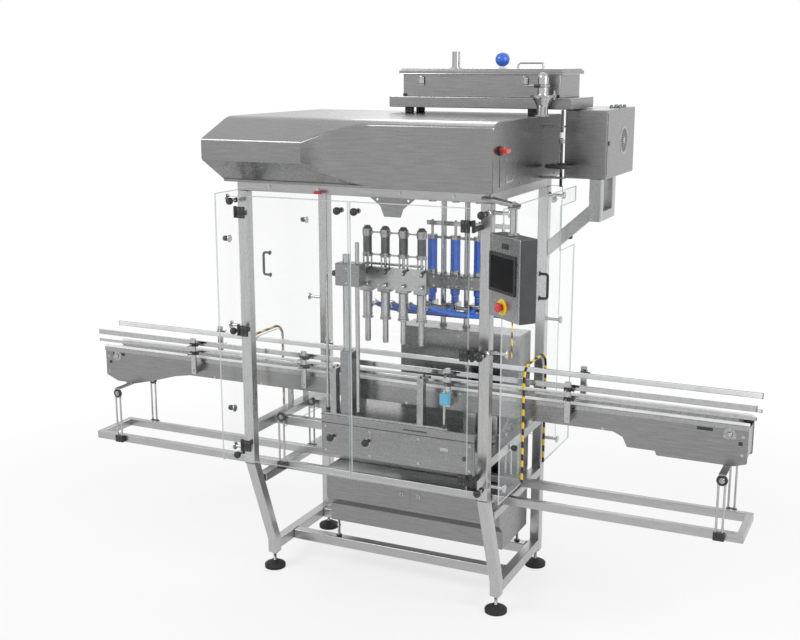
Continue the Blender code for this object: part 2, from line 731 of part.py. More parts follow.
def build_control_box(machine):
    """Electrical box with its fan ring and glands, and the bracket that carries it."""
    shell = box((BOX_LEFT_X, BOX_FRONT_Y, BOX_BOTTOM_Z), (BOX_RIGHT_X, BOX_REAR_Y, BOX_TOP_Z))
    bmesh.ops.bevel(shell, geom=list(shell.edges), offset=0.004, segments=1, affect="EDGES")
    middle = (BOX_FRONT_Y + BOX_REAR_Y) / 2
    fan_y = 0.556
    fan_z = 2.145
    ring = turned([(0.066, 0.004), (0.070, 0.0), (0.056, 0.0), (0.056, 0.004)], 16, True,
                  axes((0, 1, 0), (0, 0, 1), (1, 0, 0), (BOX_RIGHT_X - LAP, fan_y, fan_z)))
    slats = []
    for i in range(-2, 3):
        z = fan_z + i * 0.018
        reach = math.sqrt(0.053 ** 2 - (i * 0.018) ** 2)
        slats.append(box((BOX_RIGHT_X - LAP, fan_y - reach, z - 0.0035),
                         (BOX_RIGHT_X + 0.003, fan_y + reach, z + 0.0035)))
    glands = []
    for i in range(6):
        x = BOX_RIGHT_X - 0.020 - 0.020 * (i % 3)
        y = middle + (0.03 if i < 3 else 0.12)
        glands.append(cylinder((x, y, BOX_TOP_Z - LAP), (x, y, BOX_TOP_Z + 0.014), 0.009, 6))
    machine.add("control_box", [shell, ring] + slats + glands, STEEL)

    low = 1.780
    right = 0.880
    left = right - 0.058
    leg_rear = BOX_FRONT_Y + 0.300
    strut_y = REAR_POST_Y - TUBE / 2
    post_face = POST_X + TUBE / 2 + GAP
    pieces = [
        square_tube((left, BOX_FRONT_Y + 0.040, low), (right, BOX_FRONT_Y + 0.090, BOX_BOTTOM_Z - GAP)),
        square_tube((left, leg_rear - 0.050, low), (right, leg_rear, BOX_BOTTOM_Z - GAP)),
        square_tube((left, BOX_FRONT_Y + 0.084, low), (right, leg_rear - 0.044, low + 0.045)),
    ]
    strut = [(post_face, 1.600), (left + 0.006, low + 0.005), (left + 0.006, low + 0.080),
             (post_face, 1.675)]
    pieces.append(outline(strut, TUBE - 0.006, xz_plane(strut_y + TUBE / 2)))
    machine.add("box_bracket", pieces, STEEL)


# Conveyor

def conveyor_plate_outline():
    """Outline of a conveyor side plate, with its deep ends."""
    end = PLATE_END_X
    left = [(0.0, PLATE_TOP_Z), (0.0, 0.872), (0.072, PLATE_DEEP_Z), (0.192, PLATE_DEEP_Z),
            (0.302, 0.868), (0.447, 0.910), (0.537, PLATE_SHALLOW_Z)]
    right = [(0.577, PLATE_SHALLOW_Z), (0.532, 0.905), (0.512, 0.862), (0.388, 0.862),
             (0.382, PLATE_DEEP_Z), (0.052, PLATE_DEEP_Z), (0.0, 0.858), (0.0, PLATE_TOP_Z)]
    return [(x - end, z) for x, z in left] + [(end - x, z) for x, z in right]


def belt_centre_z():
    """Height of both sprocket shafts."""
    return BELT_TOP_Z - BELT_THICKNESS - SPROCKET_RADIUS - BELT_CLEARANCE


def build_conveyor(machine):
    """Side plates, slat belt, wear strips, sprockets and gear motor."""
    shaft_z = belt_centre_z()
    bores = [bore((x, shaft_z), SHAFT_RADIUS, 12) for x in (-SPROCKET_X, SPROCKET_X)]
    pieces = [outline(conveyor_plate_outline(), PLATE_THICKNESS, xz_plane(y), bores)
              for y in (PLATE_FRONT_Y, PLATE_REAR_Y)]
    inner_front = PLATE_FRONT_Y + PLATE_THICKNESS / 2 - LAP
    inner_rear = PLATE_REAR_Y - PLATE_THICKNESS / 2 + LAP
    for sign in (-1, 1):
        pieces.append(side_box(sign, (PLATE_END_X - 0.006, inner_front, 0.876),
                               (PLATE_END_X - 0.003, inner_rear, PLATE_TOP_Z - 0.004)))
    for x in (-0.98, -0.70, 0.10, 0.72, 1.05):
        pieces.append(cylinder((x, inner_front, 0.932), (x, inner_rear, 0.932), 0.006, 6))
    machine.add("conveyor_frame", pieces + guide_posts(), STEEL)
    for name, y, side in (("front", PLATE_FRONT_Y, 1), ("rear", PLATE_REAR_Y, -1)):
        ys = sorted((y - side * 0.006, y + side * 0.010))
        strip = box((-PLATE_END_X - 0.002, ys[0], PLATE_TOP_Z + GAP),
                    (PLATE_END_X + 0.002, ys[1], WEAR_STRIP_TOP_Z))
        machine.add(name + "_wear_strip", [strip], STEEL)

    outer = SPROCKET_RADIUS + BELT_THICKNESS + BELT_CLEARANCE
    inner = outer - BELT_THICKNESS
    middle = (PLATE_FRONT_Y + PLATE_REAR_Y) / 2

    def stadium(radius, steps):
        right = arc((SPROCKET_X, shaft_z), radius, -90, 90, steps)
        left = arc((-SPROCKET_X, shaft_z), radius, 90, 270, steps)
        return right + left

    belt = outline(stadium(outer, 8), BELT_WIDTH, xz_plane(middle), [stadium(inner, 8)])
    machine.add("slat_belt", [belt], BRIGHT)

    for name, x in (("drive_shaft", SPROCKET_X), ("idler_shaft", -SPROCKET_X)):
        tooth = SPROCKET_RADIUS - 0.005
        teeth = []
        for i in range(SPROCKET_TEETH):
            for part, radius in ((0.0, tooth), (0.30, SPROCKET_RADIUS), (0.60, SPROCKET_RADIUS),
                                 (0.85, tooth)):
                angle = 2 * math.pi * (i + part) / SPROCKET_TEETH
                teeth.append((x + radius * math.cos(angle), shaft_z + radius * math.sin(angle)))
        wheels = [outline(teeth, 0.014, xz_plane(middle + y)) for y in (-0.030, 0.030)]
        reach = 0.012
        shaft = cylinder((x, PLATE_FRONT_Y - reach, shaft_z), (x, PLATE_REAR_Y + reach, shaft_z),
                         SHAFT_RADIUS, 10)
        machine.add(name, wheels + [shaft], BRIGHT, pivot=(x, middle, shaft_z))

    plate_face = PLATE_REAR_Y + PLATE_THICKNESS / 2 + GAP
    gearbox = outline([(SPROCKET_X - 0.045, shaft_z - 0.075), (SPROCKET_X + 0.045, shaft_z - 0.075),
                       (SPROCKET_X + 0.045, shaft_z + 0.010), (SPROCKET_X + 0.020, shaft_z + 0.018),
                       (SPROCKET_X - 0.020, shaft_z + 0.018), (SPROCKET_X - 0.045, shaft_z + 0.010)],
                      0.070, xz_plane(plate_face + 0.035 + 0.012))
    spacer = outline(circle((SPROCKET_X, shaft_z), 0.017, 12), 0.012 + LAP,
                     xz_plane(plate_face + 0.006 + LAP / 2),
                     [bore((SPROCKET_X, shaft_z), SHAFT_RADIUS, 12)])
    motor_y = plate_face + 0.047
    motor = cylinder((SPROCKET_X - 0.045 + LAP, motor_y, shaft_z - 0.035),
                     (SPROCKET_X - 0.215, motor_y, shaft_z - 0.035), 0.034, 12)
    machine.add("gear_motor", [gearbox, spacer, motor], DARK)


def guide_rows():
    """Side, name, rail heights and plate position of the front and rear guides."""
    return ((-1, "front_guide", FRONT_RAIL_ZS, PLATE_FRONT_Y),
            (1, "rear_guide", REAR_RAIL_ZS, PLATE_REAR_Y))


def guide_posts():
    """Posts on the conveyor that the guide rods slide in, with their clamp knobs."""
    found = []
    middle = (PLATE_FRONT_Y + PLATE_REAR_Y) / 2
    for side, _, levels, plate_y in guide_rows():
        post_y = middle + side * (RAIL_OFFSET + POST_OFFSET)
        holes = [bore((0, z), GUIDE_ROD_RADIUS, 8) for z in levels]
        top = levels[1] + 0.034
        for x in GUIDE_STATION_XS:
            plan = [(-0.014, 0.952), (0.014, 0.952), (0.014, top), (-0.014, top)]
            place = Matrix.Translation((x, 0, 0)) @ xz_plane(post_y)
            found.append(outline(plan, 0.014, place, holes))
            ys = sorted((plate_y + side * (PLATE_THICKNESS / 2 - LAP), post_y))
            found.append(box((x - 0.012, ys[0], 0.955), (x + 0.012, ys[1], 0.985)))
            found.append(box((x + 0.013, post_y - 0.006, levels[0] - 0.010),
                             (x + 0.030, post_y + 0.006, levels[1] + 0.010)))
    return found


def build_guides(machine):
    """Guide rails, each with the rods that carry it."""
    middle = (PLATE_FRONT_Y + PLATE_REAR_Y) / 2
    for side, name, levels, _ in guide_rows():
        rail_y = middle + side * RAIL_OFFSET
        for level, z, tall in zip(("low", "high"), levels, GUIDE_RAIL_HEIGHTS):
            ys = sorted((rail_y, rail_y + side * 0.010))
            bars = [box((-RAIL_END_X, ys[0], z - tall / 2), (RAIL_END_X, ys[1], z + tall / 2))]
            for x in GUIDE_STATION_XS:
                ys = sorted((rail_y + side * (0.010 - LAP), rail_y + side * 0.014))
                bars.append(box((x - 0.009, ys[0], z - 0.006), (x + 0.009, ys[1], z + 0.006)))
                bars.append(cylinder((x, rail_y + side * 0.012, z), (x, rail_y + side * 0.100, z),
                                     GUIDE_ROD_RADIUS, 6))
            machine.add(f"{name}_{level}", bars, STEEL)


def build_support(machine):
    """Long frame under the conveyor on its bearers, and the stands that hold the conveyor."""
    low, high = TRAY_TOP_Z - TRAY_HEIGHT, TRAY_TOP_Z
    wide = TRAY_RAIL_WIDTH
    pieces = [
        square_tube((-TRAY_END_X, TRAY_FRONT_Y, low), (TRAY_END_X, TRAY_FRONT_Y + wide, high)),
        square_tube((-TRAY_END_X, TRAY_REAR_Y - wide, low), (TRAY_END_X, TRAY_REAR_Y, high)),
    ]
    half = TUBE / 2
    lean = (FOOT_Y - FRONT_POST_Y) / (KNEE_Z - BEAM_TOP_Z)
    bearer_low = low - BEARER_HEIGHT
    bearer_start = FRONT_POST_Y + half + (KNEE_Z - bearer_low) * lean + 0.008
    for _, sign in SIDES:
        xs = sorted((sign * TRAY_END_X, sign * (TRAY_END_X - wide)))
        pieces.append(square_tube((xs[0], TRAY_FRONT_Y + wide - 0.006, low),
                                  (xs[1], TRAY_REAR_Y - wide + 0.006, high)))
        pieces.append(square_tube((sign * POST_X - half, bearer_start, bearer_low),
                                  (sign * POST_X + half, REAR_POST_Y - half - GAP, low + LAP)))
    machine.add("support_frame", pieces, STEEL)
    for number, x in enumerate(SUPPORT_STATION_XS, 1):
        machine.add(f"conveyor_stand_{number}", stand(x), BRIGHT)


def stand(x):
    """Rod pairs with clamp blocks, rings and the cross plate under the conveyor."""
    found = []
    half = ROD_SPACING / 2
    ring_z = ROD_TOP_Z + 0.014
    plate_z = ring_z + 0.022
    bottom_z = (PLATE_DEEP_Z if abs(x) > 1.0 else PLATE_SHALLOW_Z) - GAP
    ends = []
    for rail_y, side in ((TRAY_FRONT_Y, -1), (TRAY_REAR_Y, 1)):
        rod_y = rail_y + side * 0.012
        ends.append(rod_y)
        for dx in (-half, half):
            found.append(cylinder((x + dx, rod_y, TRAY_TOP_Z - 0.038), (x + dx, rod_y, ring_z - 0.012),
                                  ROD_RADIUS, 6))
        ys = sorted((rail_y + side * GAP, rail_y + side * 0.024))
        found.append(box((x - 0.024, ys[0], TRAY_TOP_Z - 0.036), (x + 0.024, ys[1], TRAY_TOP_Z)))
        found.append(turned([(0.024, 0.010), (0.024, 0.0), (0.012, 0.0), (0.012, 0.010)], 8, True,
                            axes((1, 0, 0), (0, 0, 1), (0, -1, 0), (x, rod_y + 0.005, ring_z))))
    found.append(box((x - 0.016, ends[0] - 0.005, plate_z), (x + 0.016, ends[1] + 0.005, plate_z + 0.006)))
    for plate_y in (PLATE_FRONT_Y, PLATE_REAR_Y):
        found.append(box((x - 0.015, plate_y - 0.004, plate_z + 0.005),
                         (x + 0.015, plate_y + 0.004, bottom_z)))
    return found


# Table, cabinet and dosing drive

def build_table(machine):
    """Table housing between its side rails, lower cabinet and dosing drive housing."""
    half = TUBE / 2
    rail_low = SIDE_RAIL_TOP_Z - SIDE_RAIL_HEIGHT
    reach = 0.006
    pieces = [box((TABLE_LEFT_X, TABLE_FRONT_Y, TABLE_BOTTOM_Z),
                  (TABLE_RIGHT_X, DRIVE_FRONT_Y - GAP, TABLE_TOP_Z))]
    for _, sign in SIDES:
        pieces.append(square_tube((sign * POST_X - half, FRONT_POST_Y + half + GAP, rail_low),
                                  (sign * POST_X + half, REAR_POST_Y - half - GAP, SIDE_RAIL_TOP_Z)))
    inner = POST_X - half + reach
    for y in (-0.250, 0.065):
        for xs in ((-inner, TABLE_LEFT_X + reach), (TABLE_RIGHT_X - reach, inner)):
            pieces.append(square_tube((xs[0], y, rail_low), (xs[1], y + 0.040, SIDE_RAIL_TOP_Z)))
    for x in (-0.22, 0.42):
        pieces.append(box((x - 0.030, PLATE_FRONT_Y - 0.004, TABLE_TOP_Z - LAP),
                          (x + 0.030, PLATE_REAR_Y + 0.004, PLATE_SHALLOW_Z - GAP)))
    machine.add("table_housing", pieces, STEEL)

    profile = [(CABINET_REAR_Y, CABINET_TOP_Z), (CABINET_FRONT_Y, CABINET_TOP_Z),
               (CABINET_FRONT_Y, CABINET_FOLD_Z),
               (CABINET_FRONT_Y + CABINET_RECESS, CABINET_FOLD_Z - 0.045),
               (CABINET_FRONT_Y + CABINET_RECESS, CABINET_BOTTOM_Z), (CABINET_REAR_Y, CABINET_BOTTOM_Z)]
    wide = CABINET_RIGHT_X - CABINET_LEFT_X
    pieces = [outline(profile, wide, yz_plane((CABINET_LEFT_X + CABINET_RIGHT_X) / 2))]
    for x in (CABINET_LEFT_X + 0.040, CABINET_RIGHT_X - 0.040):
        for y in CROSS_BEAM_YS:
            pieces.append(cylinder((x, y, BEAM_TOP_Z + GAP), (x, y, BEAM_TOP_Z + 0.008), 0.014, 8))
            pieces.append(cylinder((x, y, BEAM_TOP_Z + 0.007), (x, y, CABINET_BOTTOM_Z + LAP), 0.007, 6))
    machine.add("lower_cabinet", pieces, STEEL)

    drive = box((DRIVE_LEFT_X, DRIVE_FRONT_Y, CABINET_TOP_Z + GAP),
                (CABINET_RIGHT_X, CABINET_REAR_Y, DRIVE_TOP_Z))
    machine.add("dosing_drive", [drive], STEEL)


def dosing_places():
    """X positions of the dosing cylinders."""
    return [DOSING_LEFT_X + DOSING_PITCH * i for i in range(DOSING_COUNT)]


def nozzle_places():
    """X positions of the nozzles, centred on the machine."""
    start = -NOZZLE_PITCH * (NOZZLE_COUNT - 1) / 2
    return [start + NOZZLE_PITCH * i for i in range(NOZZLE_COUNT)]


def column_places():
    """X positions of the tie columns between the dosing cylinders."""
    return [DOSING_LEFT_X + DOSING_PITCH * (i + 0.5) for i in range(DOSING_COUNT - 1)]


def across(low_y, high_y):
    """Plan outline over the whole row of dosing cylinders."""
    left, right = dosing_places()[0] - 0.050, dosing_places()[-1] + 0.050
    return [(left, low_y), (right, low_y), (right, high_y), (left, high_y)]


def build_dosing(machine):
    """Dosing cylinders on their manifold, pistons on one bridge, valves and hoses."""
    front, rear = DOSING_Y - 0.034, DOSING_Y + 0.034
    manifold_top = DOSING_BOTTOM_Z - GAP
    thick = manifold_top - MANIFOLD_BOTTOM_Z
    pieces = [outline(across(front, rear), thick, xy_plane(MANIFOLD_BOTTOM_Z + thick / 2)),
              outline(across(front, rear), 0.010, xy_plane(POST_TOP_Z - 0.005))]
    for x in column_places():
        for y in (DOSING_Y - COLUMN_OFFSET, DOSING_Y + COLUMN_OFFSET):
            pieces.append(cylinder((x, y, manifold_top - LAP), (x, y, POST_TOP_Z - 0.005), COLUMN_RADIUS, 8))
        pieces.append(cylinder((x, DOSING_Y, DRIVE_TOP_Z + GAP), (x, DOSING_Y, MANIFOLD_BOTTOM_Z + LAP),
                               0.014, 8))
    for x in dosing_places():
        pieces.append(cylinder((x, DOSING_Y, POST_TOP_Z - 0.085), (x, DOSING_Y, POST_TOP_Z - 0.008), 0.020, 10))
    machine.add("dosing_frame", pieces, STEEL)

    height = DOSING_TOP_Z - DOSING_BOTTOM_Z
    inside, outer = DOSING_BORE, DOSING_RADIUS
    barrel = [(outer, height), (outer, 0.0), (0.008, 0.0), (0.008, 0.012), (inside, 0.016),
              (inside, height - 0.012), (PISTON_ROD_RADIUS + GAP, height - 0.008),
              (PISTON_ROD_RADIUS + GAP, height)]
    barrels = [turned(barrel, 12, True, Matrix.Translation((x, DOSING_Y, DOSING_BOTTOM_Z)))
               for x in dosing_places()]
    wall = (inside + outer) / 2
    ties = [box((x + wall, DOSING_Y - BRIDGE_HALF, DOSING_TOP_Z - 0.020),
                (x + DOSING_PITCH - wall, DOSING_Y + BRIDGE_HALF, DOSING_TOP_Z - 0.006))
            for x in dosing_places()[:-1]]
    machine.add("dosing_cylinders", barrels + ties, BLUE)

    head_z = DOSING_BOTTOM_Z + 0.040
    movers = [box((dosing_places()[0] - 0.030, DOSING_Y - BRIDGE_HALF, BRIDGE_Z),
                  (dosing_places()[-1] + 0.030, DOSING_Y + BRIDGE_HALF, BRIDGE_Z + 0.022))]
    for x in dosing_places():
        here = Matrix.Translation((x, DOSING_Y, 0))
        rod = PISTON_ROD_RADIUS
        movers.append(turned([(0.0, BRIDGE_Z + LAP), (rod, BRIDGE_Z + LAP), (rod, head_z + 0.025),
                              (inside - GAP, head_z + 0.025), (inside - GAP, head_z), (0.0, head_z)], 12,
                             place=here))
    machine.add("dosing_pistons", movers, BRIGHT, pivot=(0, DOSING_Y, BRIDGE_Z))

    first, last = dosing_places()[0], dosing_places()[-1]
    shaft_y = DOSING_Y - VALVE_FRONT + 0.020
    valves = [cylinder((first - 0.034, shaft_y, VALVE_Z), (last + 0.040, shaft_y, VALVE_Z), 0.010, 8)]
    for x in dosing_places():
        valves.append(cylinder((x, DOSING_Y, VALVE_Z + 0.024),
                               (x, DOSING_Y, MANIFOLD_BOTTOM_Z - GAP), 0.024, 10))
        valves.append(box((x - 0.027, DOSING_Y - VALVE_FRONT, VALVE_Z - 0.028),
                          (x + 0.027, DOSING_Y + 0.024, VALVE_Z + 0.026)))
    machine.add("valve_block", valves, BLUE)

    hoses = []
    middles = []
    for target, x in zip(nozzle_places(), dosing_places()):
        start = Vector((x, DOSING_Y - VALVE_FRONT - GAP, VALVE_Z))
        end = Vector((target, NOZZLE_Y + 0.072 + GAP, NOZZLE_INLET_Z))
        route = hose_route(start, end)
        middles.append(route[len(route) // 2])
        hoses.append(tube(route, 0.0125, 1))
    hoses.append(box((middles[0].x - 0.020, middles[0].y - 0.005, middles[0].z - 0.016),
                     (middles[-1].x + 0.020, middles[0].y + 0.005, middles[0].z + 0.016)))
    machine.add("product_hoses", hoses, BLUE)


def hose_route(start, end):
    """Points of a sagging hose that leaves and enters along Y."""
    lead = Vector((0, 0.010, 0))
    pull = Vector((0, 0.035, 0))
    sag = Vector((0, 0, -0.035))
    found = [start]
    finish = end
    start, end = start - lead, end + lead
    first, second = start - pull + sag, end + pull + sag
    steps = 8
    for i in range(steps + 1):
        t = i / steps
        found.append(start * (1 - t) ** 3 + first * 3 * t * (1 - t) ** 2
                     + second * 3 * t * t * (1 - t) + end * t ** 3)
    return found + [finish]


# Nozzle carriage

def nozzle_shape(x):
    """One nozzle: bored sleeve with its flange and tip, and the inlet at its back."""
    tip, flange, top = NOZZLE_TIP_Z, NOZZLE_FLANGE_Z, NOZZLE_BODY_Z - GAP
    outer, slim, inside = NOZZLE_SLEEVE_RADIUS, NOZZLE_TIP_RADIUS, NOZZLE_BORE
    sleeve = [(outer - 0.003, top), (outer, top - 0.004), (outer, flange + 0.010),
              (outer + 0.004, flange + 0.008), (outer + 0.004, flange), (slim, flange - 0.004),
              (slim, tip + 0.006), (slim - 0.002, tip), (inside - 0.001, tip), (inside, tip + 0.004),
              (inside, top)]
    inlet = NOZZLE_INLET_Z
    return [turned(sleeve, 12, True, Matrix.Translation((x, NOZZLE_Y, 0))),
            cylinder((x, NOZZLE_Y + outer - 0.005, inlet), (x, NOZZLE_Y + 0.072, inlet), 0.017, 8)]


def air_cylinder(x):
    """One shut-off air cylinder on its two pillars."""
    low, top = NOZZLE_CYLINDER_Z, NOZZLE_TOP_Z
    rod = (SHUTOFF_ROD_RADIUS + GAP) / math.cos(math.pi / 10)
    barrel = [(0.0, top + 0.012), (0.014, top + 0.012), (0.024, top - 0.004), (0.024, top - 0.036),
              (0.0205, top - 0.038), (0.0205, low + 0.018), (0.024, low + 0.016), (0.024, low),
              (rod, low), (rod, low + 0.050), (0.0, low + 0.050)]
    found = [turned(barrel, 10, place=Matrix.Translation((x, NOZZLE_Y, 0)))]
    for reach in (-0.014, 0.014):
        found.append(cylinder((x + reach, NOZZLE_Y + reach, NOZZLE_BLOCK_Z + GAP),
                              (x + reach, NOZZLE_Y + reach, low + LAP), 0.004, 6))
    return found


def build_nozzles(machine):
    """Lift column, carriage, nozzles with their shut-off rods and air cylinders."""
    pivot = (LIFT_X, LIFT_Y, NOZZLE_BODY_Z)
    base_z = TABLE_TOP_Z + GAP
    post_y = LIFT_Y - 0.010
    side_x = -0.275
    column = [
        box((LIFT_X - 0.032, LIFT_Y - 0.030, base_z), (LIFT_X + 0.028, LIFT_Y + 0.032, 1.180)),
        box((side_x - 0.012, LIFT_Y - 0.0015, base_z), (LIFT_POST_X + 0.014, LIFT_Y + 0.020, base_z + 0.010)),
        cylinder((LIFT_X - 0.008, LIFT_Y, 1.178), (LIFT_X - 0.008, LIFT_Y, 1.640), LIFT_RADIUS, 12),
        cylinder((LIFT_POST_X, post_y, base_z), (LIFT_POST_X, post_y, LIFT_POST_TOP_Z), 0.010, 10),
        cylinder((side_x, LIFT_Y, base_z), (side_x, LIFT_Y, 1.530), 0.007, 8),
    ]
    machine.add("lift_column", column, BRIGHT)

    holes = [bore((LIFT_X - 0.008, LIFT_Y), LIFT_RADIUS, 12),
             bore((LIFT_POST_X, post_y), 0.010)]
    bar_y = NOZZLE_Y - 0.034
    last = nozzle_places()[-1]
    carriage = [
        outline([(-0.212, LIFT_Y - 0.036), (-0.086, LIFT_Y - 0.036), (-0.086, LIFT_Y + 0.040),
                 (-0.212, LIFT_Y + 0.040)], 0.105, xy_plane(NOZZLE_BODY_Z + 0.1025), holes),
        box((-0.200, LIFT_Y + 0.040 - LAP, NOZZLE_BODY_Z + 0.065),
            (-0.160, bar_y + 0.004, NOZZLE_BLOCK_Z)),
        box((-0.200, bar_y, NOZZLE_BODY_Z + 0.017),
            (last + 0.036, bar_y + 0.010, NOZZLE_BLOCK_Z + 0.006)),
    ]
    height = NOZZLE_BLOCK_Z - NOZZLE_BODY_Z
    front = bar_y + 0.010 - LAP
    rear = NOZZLE_Y + 0.026
    air = []
    rods = [box((nozzle_places()[0] - 0.010, NOZZLE_Y - 0.006, NOZZLE_BLOCK_Z + 0.010),
                (last + 0.010, NOZZLE_Y + 0.006, NOZZLE_BLOCK_Z + 0.022))]
    for number, x in enumerate(nozzle_places(), 1):
        plan = [(x - 0.032, front), (x + 0.032, front), (x + 0.032, rear), (x - 0.032, rear)]
        carriage.append(outline(plan, height, xy_plane(NOZZLE_BODY_Z + height / 2),
                                [circle((x, NOZZLE_Y), NOZZLE_BORE, 12)]))
        knob_z = NOZZLE_BODY_Z + 0.037
        carriage.append(cylinder((x + 0.016, bar_y + LAP, knob_z), (x + 0.016, bar_y - 0.022, knob_z),
                                 0.010, 8))
        foot_z = NOZZLE_BLOCK_Z - 0.028
        lever = [(x + 0.004, foot_z + 0.004), (x + 0.020, foot_z), (x + 0.026, foot_z + 0.016),
                 (x + 0.044, foot_z + 0.028), (x + 0.040, foot_z + 0.038),
                 (x + 0.014, foot_z + 0.026)]
        carriage.append(outline(lever, 0.008, xz_plane(bar_y - 0.003)))
        machine.add(f"nozzle_{number}", nozzle_shape(x), BRIGHT, pivot=pivot)
        air += air_cylinder(x)
        top = NOZZLE_CYLINDER_Z + 0.030
        rods.append(turned([(0.0, top), (SHUTOFF_ROD_RADIUS, top), (SHUTOFF_ROD_RADIUS, NOZZLE_TIP_Z + 0.016),
                            (0.004, NOZZLE_TIP_Z + 0.003), (0.0, NOZZLE_TIP_Z + 0.003)], 8,
                           place=Matrix.Translation((x, NOZZLE_Y, 0))))
    for left in nozzle_places()[:-1]:
        for z in (NOZZLE_CYLINDER_Z + 0.009, NOZZLE_TOP_Z - 0.020):
            air.append(cylinder((left + 0.022, NOZZLE_Y, z), (left + NOZZLE_PITCH - 0.022, NOZZLE_Y, z),
                                0.004, 6))
    machine.add("nozzle_carriage", carriage, STEEL, pivot=pivot)
    machine.add("nozzle_cylinders", air, STEEL, pivot=pivot)
    machine.add("shutoff_rods", rods, BRIGHT, pivot=(0, NOZZLE_Y, NOZZLE_TIP_Z))


def build_lane_fittings(machine):
    """Stop gates in their air cylinders, and the container sensor, on one table bar."""
    base_z = TABLE_TOP_Z + GAP
    front = TABLE_FRONT_Y + 0.0015
    sensor_x = 0.345
    z = 1.0815
    pieces = [box((-0.280, front, base_z), (sensor_x + 0.018, front + 0.012, base_z + 0.010)),
              cylinder((sensor_x, front + 0.006, base_z + 0.008), (sensor_x, front + 0.006, 0.990), 0.006, 10),
              box((sensor_x - 0.020, front - 0.006, 0.985), (sensor_x + 0.020, front + 0.034, 1.040))]
    rear = front + 0.064
    for name, x in (("infeed_gate", -0.225), ("outfeed_gate", 0.225)):
        pieces.append(box((x - 0.016, front + 0.002, base_z), (x + 0.016, front + 0.040, z - 0.014)))
        shell = [(x - 0.017, z - 0.0155), (x + 0.017, z - 0.0155), (x + 0.017, z + 0.0155),
                 (x - 0.017, z + 0.0155)]
        pieces.append(outline(shell, rear - front - 0.002, xz_plane((front + 0.002 + rear) / 2),
                              [bore((x, z), 0.006)]))
        rod = cylinder((x, front + 0.006, z), (x, rear + 0.031, z), 0.006, 10)
        pad = box((x - 0.014, rear + 0.030, z - 0.006), (x + 0.014, rear + 0.036, z + 0.006))
        machine.add(name, [rod, pad], BRIGHT, pivot=(x, rear, z))
    machine.add("table_fittings", pieces, BLACK)


# Guards

def guard_outline(notched):
    """Side guard with the conveyor slot; a notched one also clears the box bracket."""
    corner = SLOT_CORNER
    left = arc((SLOT_FRONT_Y + corner, SLOT_TOP_Z - corner), corner, 180, 90, 4)
    right = arc((SLOT_REAR_Y - corner, SLOT_TOP_Z - corner), corner, 90, 0, 4)
    rear = [(GUARD_REAR_Y, GUARD_BOTTOM_Z), (GUARD_REAR_Y, GUARD_TOP_Z)]
    if notched:
        notch_y = REAR_POST_Y - TUBE - 0.018
        rear[1:1] = [(GUARD_REAR_Y, 1.640), (notch_y, 1.640), (notch_y, 1.850), (GUARD_REAR_Y, 1.850)]
    return [(GUARD_FRONT_Y, GUARD_BOTTOM_Z), (SLOT_FRONT_Y, GUARD_BOTTOM_Z)] + left + right + [
        (SLOT_REAR_Y, GUARD_BOTTOM_Z)] + rear + [(GUARD_FRONT_Y, GUARD_TOP_Z)]


def arch_path(x):
    """Path of the striped tube round the conveyor slot."""
    out = 0.014
    front, rear = SLOT_FRONT_Y - out, SLOT_REAR_Y + out
    bend = SLOT_CORNER + out
    top = SLOT_TOP_Z + out
    flat = [(front, GUARD_BOTTOM_Z + 0.010)]
    flat += arc((front + bend, top - bend), bend, 180, 90, 4)
    flat += arc((rear - bend, top - bend), bend, 90, 0, 4)
    flat.append((rear, GUARD_BOTTOM_Z + 0.010))
    return [(x, y, z) for y, z in flat]


def build_side_guards(machine):
    """Clear lift-off side guards with their handle and striped slot tube."""
    face = GUARD_X + GUARD_THICKNESS / 2 - LAP
    for name, sign in SIDES:
        sheet = outline(guard_outline(sign > 0), GUARD_THICKNESS, yz_plane(sign * GUARD_X))
        rim = tube(arch_path(sign * (face + ARCH_TUBE_RADIUS)), ARCH_TUBE_RADIUS, 0)
        out = face + 0.042
        path = [(face, 1.468), (out - 0.012, 1.468), (out, 1.480), (out, 1.568), (out - 0.012, 1.580),
                (face, 1.580)]
        grip = tube([(sign * x, -0.052, z) for x, z in path], 0.006, 1)
        machine.add("side_guard_" + name, [sheet, rim, grip], CLEAR, pivot=(sign * GUARD_X, 0, 0))


def build_doors(machine):
    """Double front doors with their hinge leaves and knobs."""
    half = GUARD_THICKNESS / 2
    outer = DOOR_HINGE_X - 0.016
    for name, sign in SIDES:
        pieces = [side_box(sign, (DOOR_MEETING_GAP / 2, DOOR_Y - half, DOOR_BOTTOM_Z),
                           (outer, DOOR_Y + half, DOOR_TOP_Z))]
        for z in HINGE_ZS:
            pieces.append(side_box(sign, (outer - 0.038, DOOR_Y - half - 0.010, z - HINGE_HEIGHT / 2),
                                   (outer + 0.002, DOOR_Y - half + LAP, z + HINGE_HEIGHT / 2)))
            top = z + HINGE_HEIGHT / 2
            pieces.append(side_box(sign, (outer - 0.002, DOOR_Y - half - 0.002, z + 0.003),
                                   (DOOR_HINGE_X - 0.002, DOOR_Y + half - 0.001, top - 0.002)))
            pieces.append(cylinder((sign * DOOR_HINGE_X, DOOR_Y, z),
                                   (sign * DOOR_HINGE_X, DOOR_Y, top), HINGE_RADIUS, 8))
        for x, z in ((0.041, 1.884), (0.088, 0.856)):
            place = sign * x
            pieces.append(cylinder((place, DOOR_Y + half + 0.010, z), (place, DOOR_Y - 0.022, z), 0.008, 6))
            pieces.append(ball((place, DOOR_Y - 0.034, z), KNOB_RADIUS, 8, 6))
        machine.add("front_door_" + name, pieces, CLEAR, pivot=(sign * DOOR_HINGE_X, DOOR_Y, HINGE_ZS[1]))


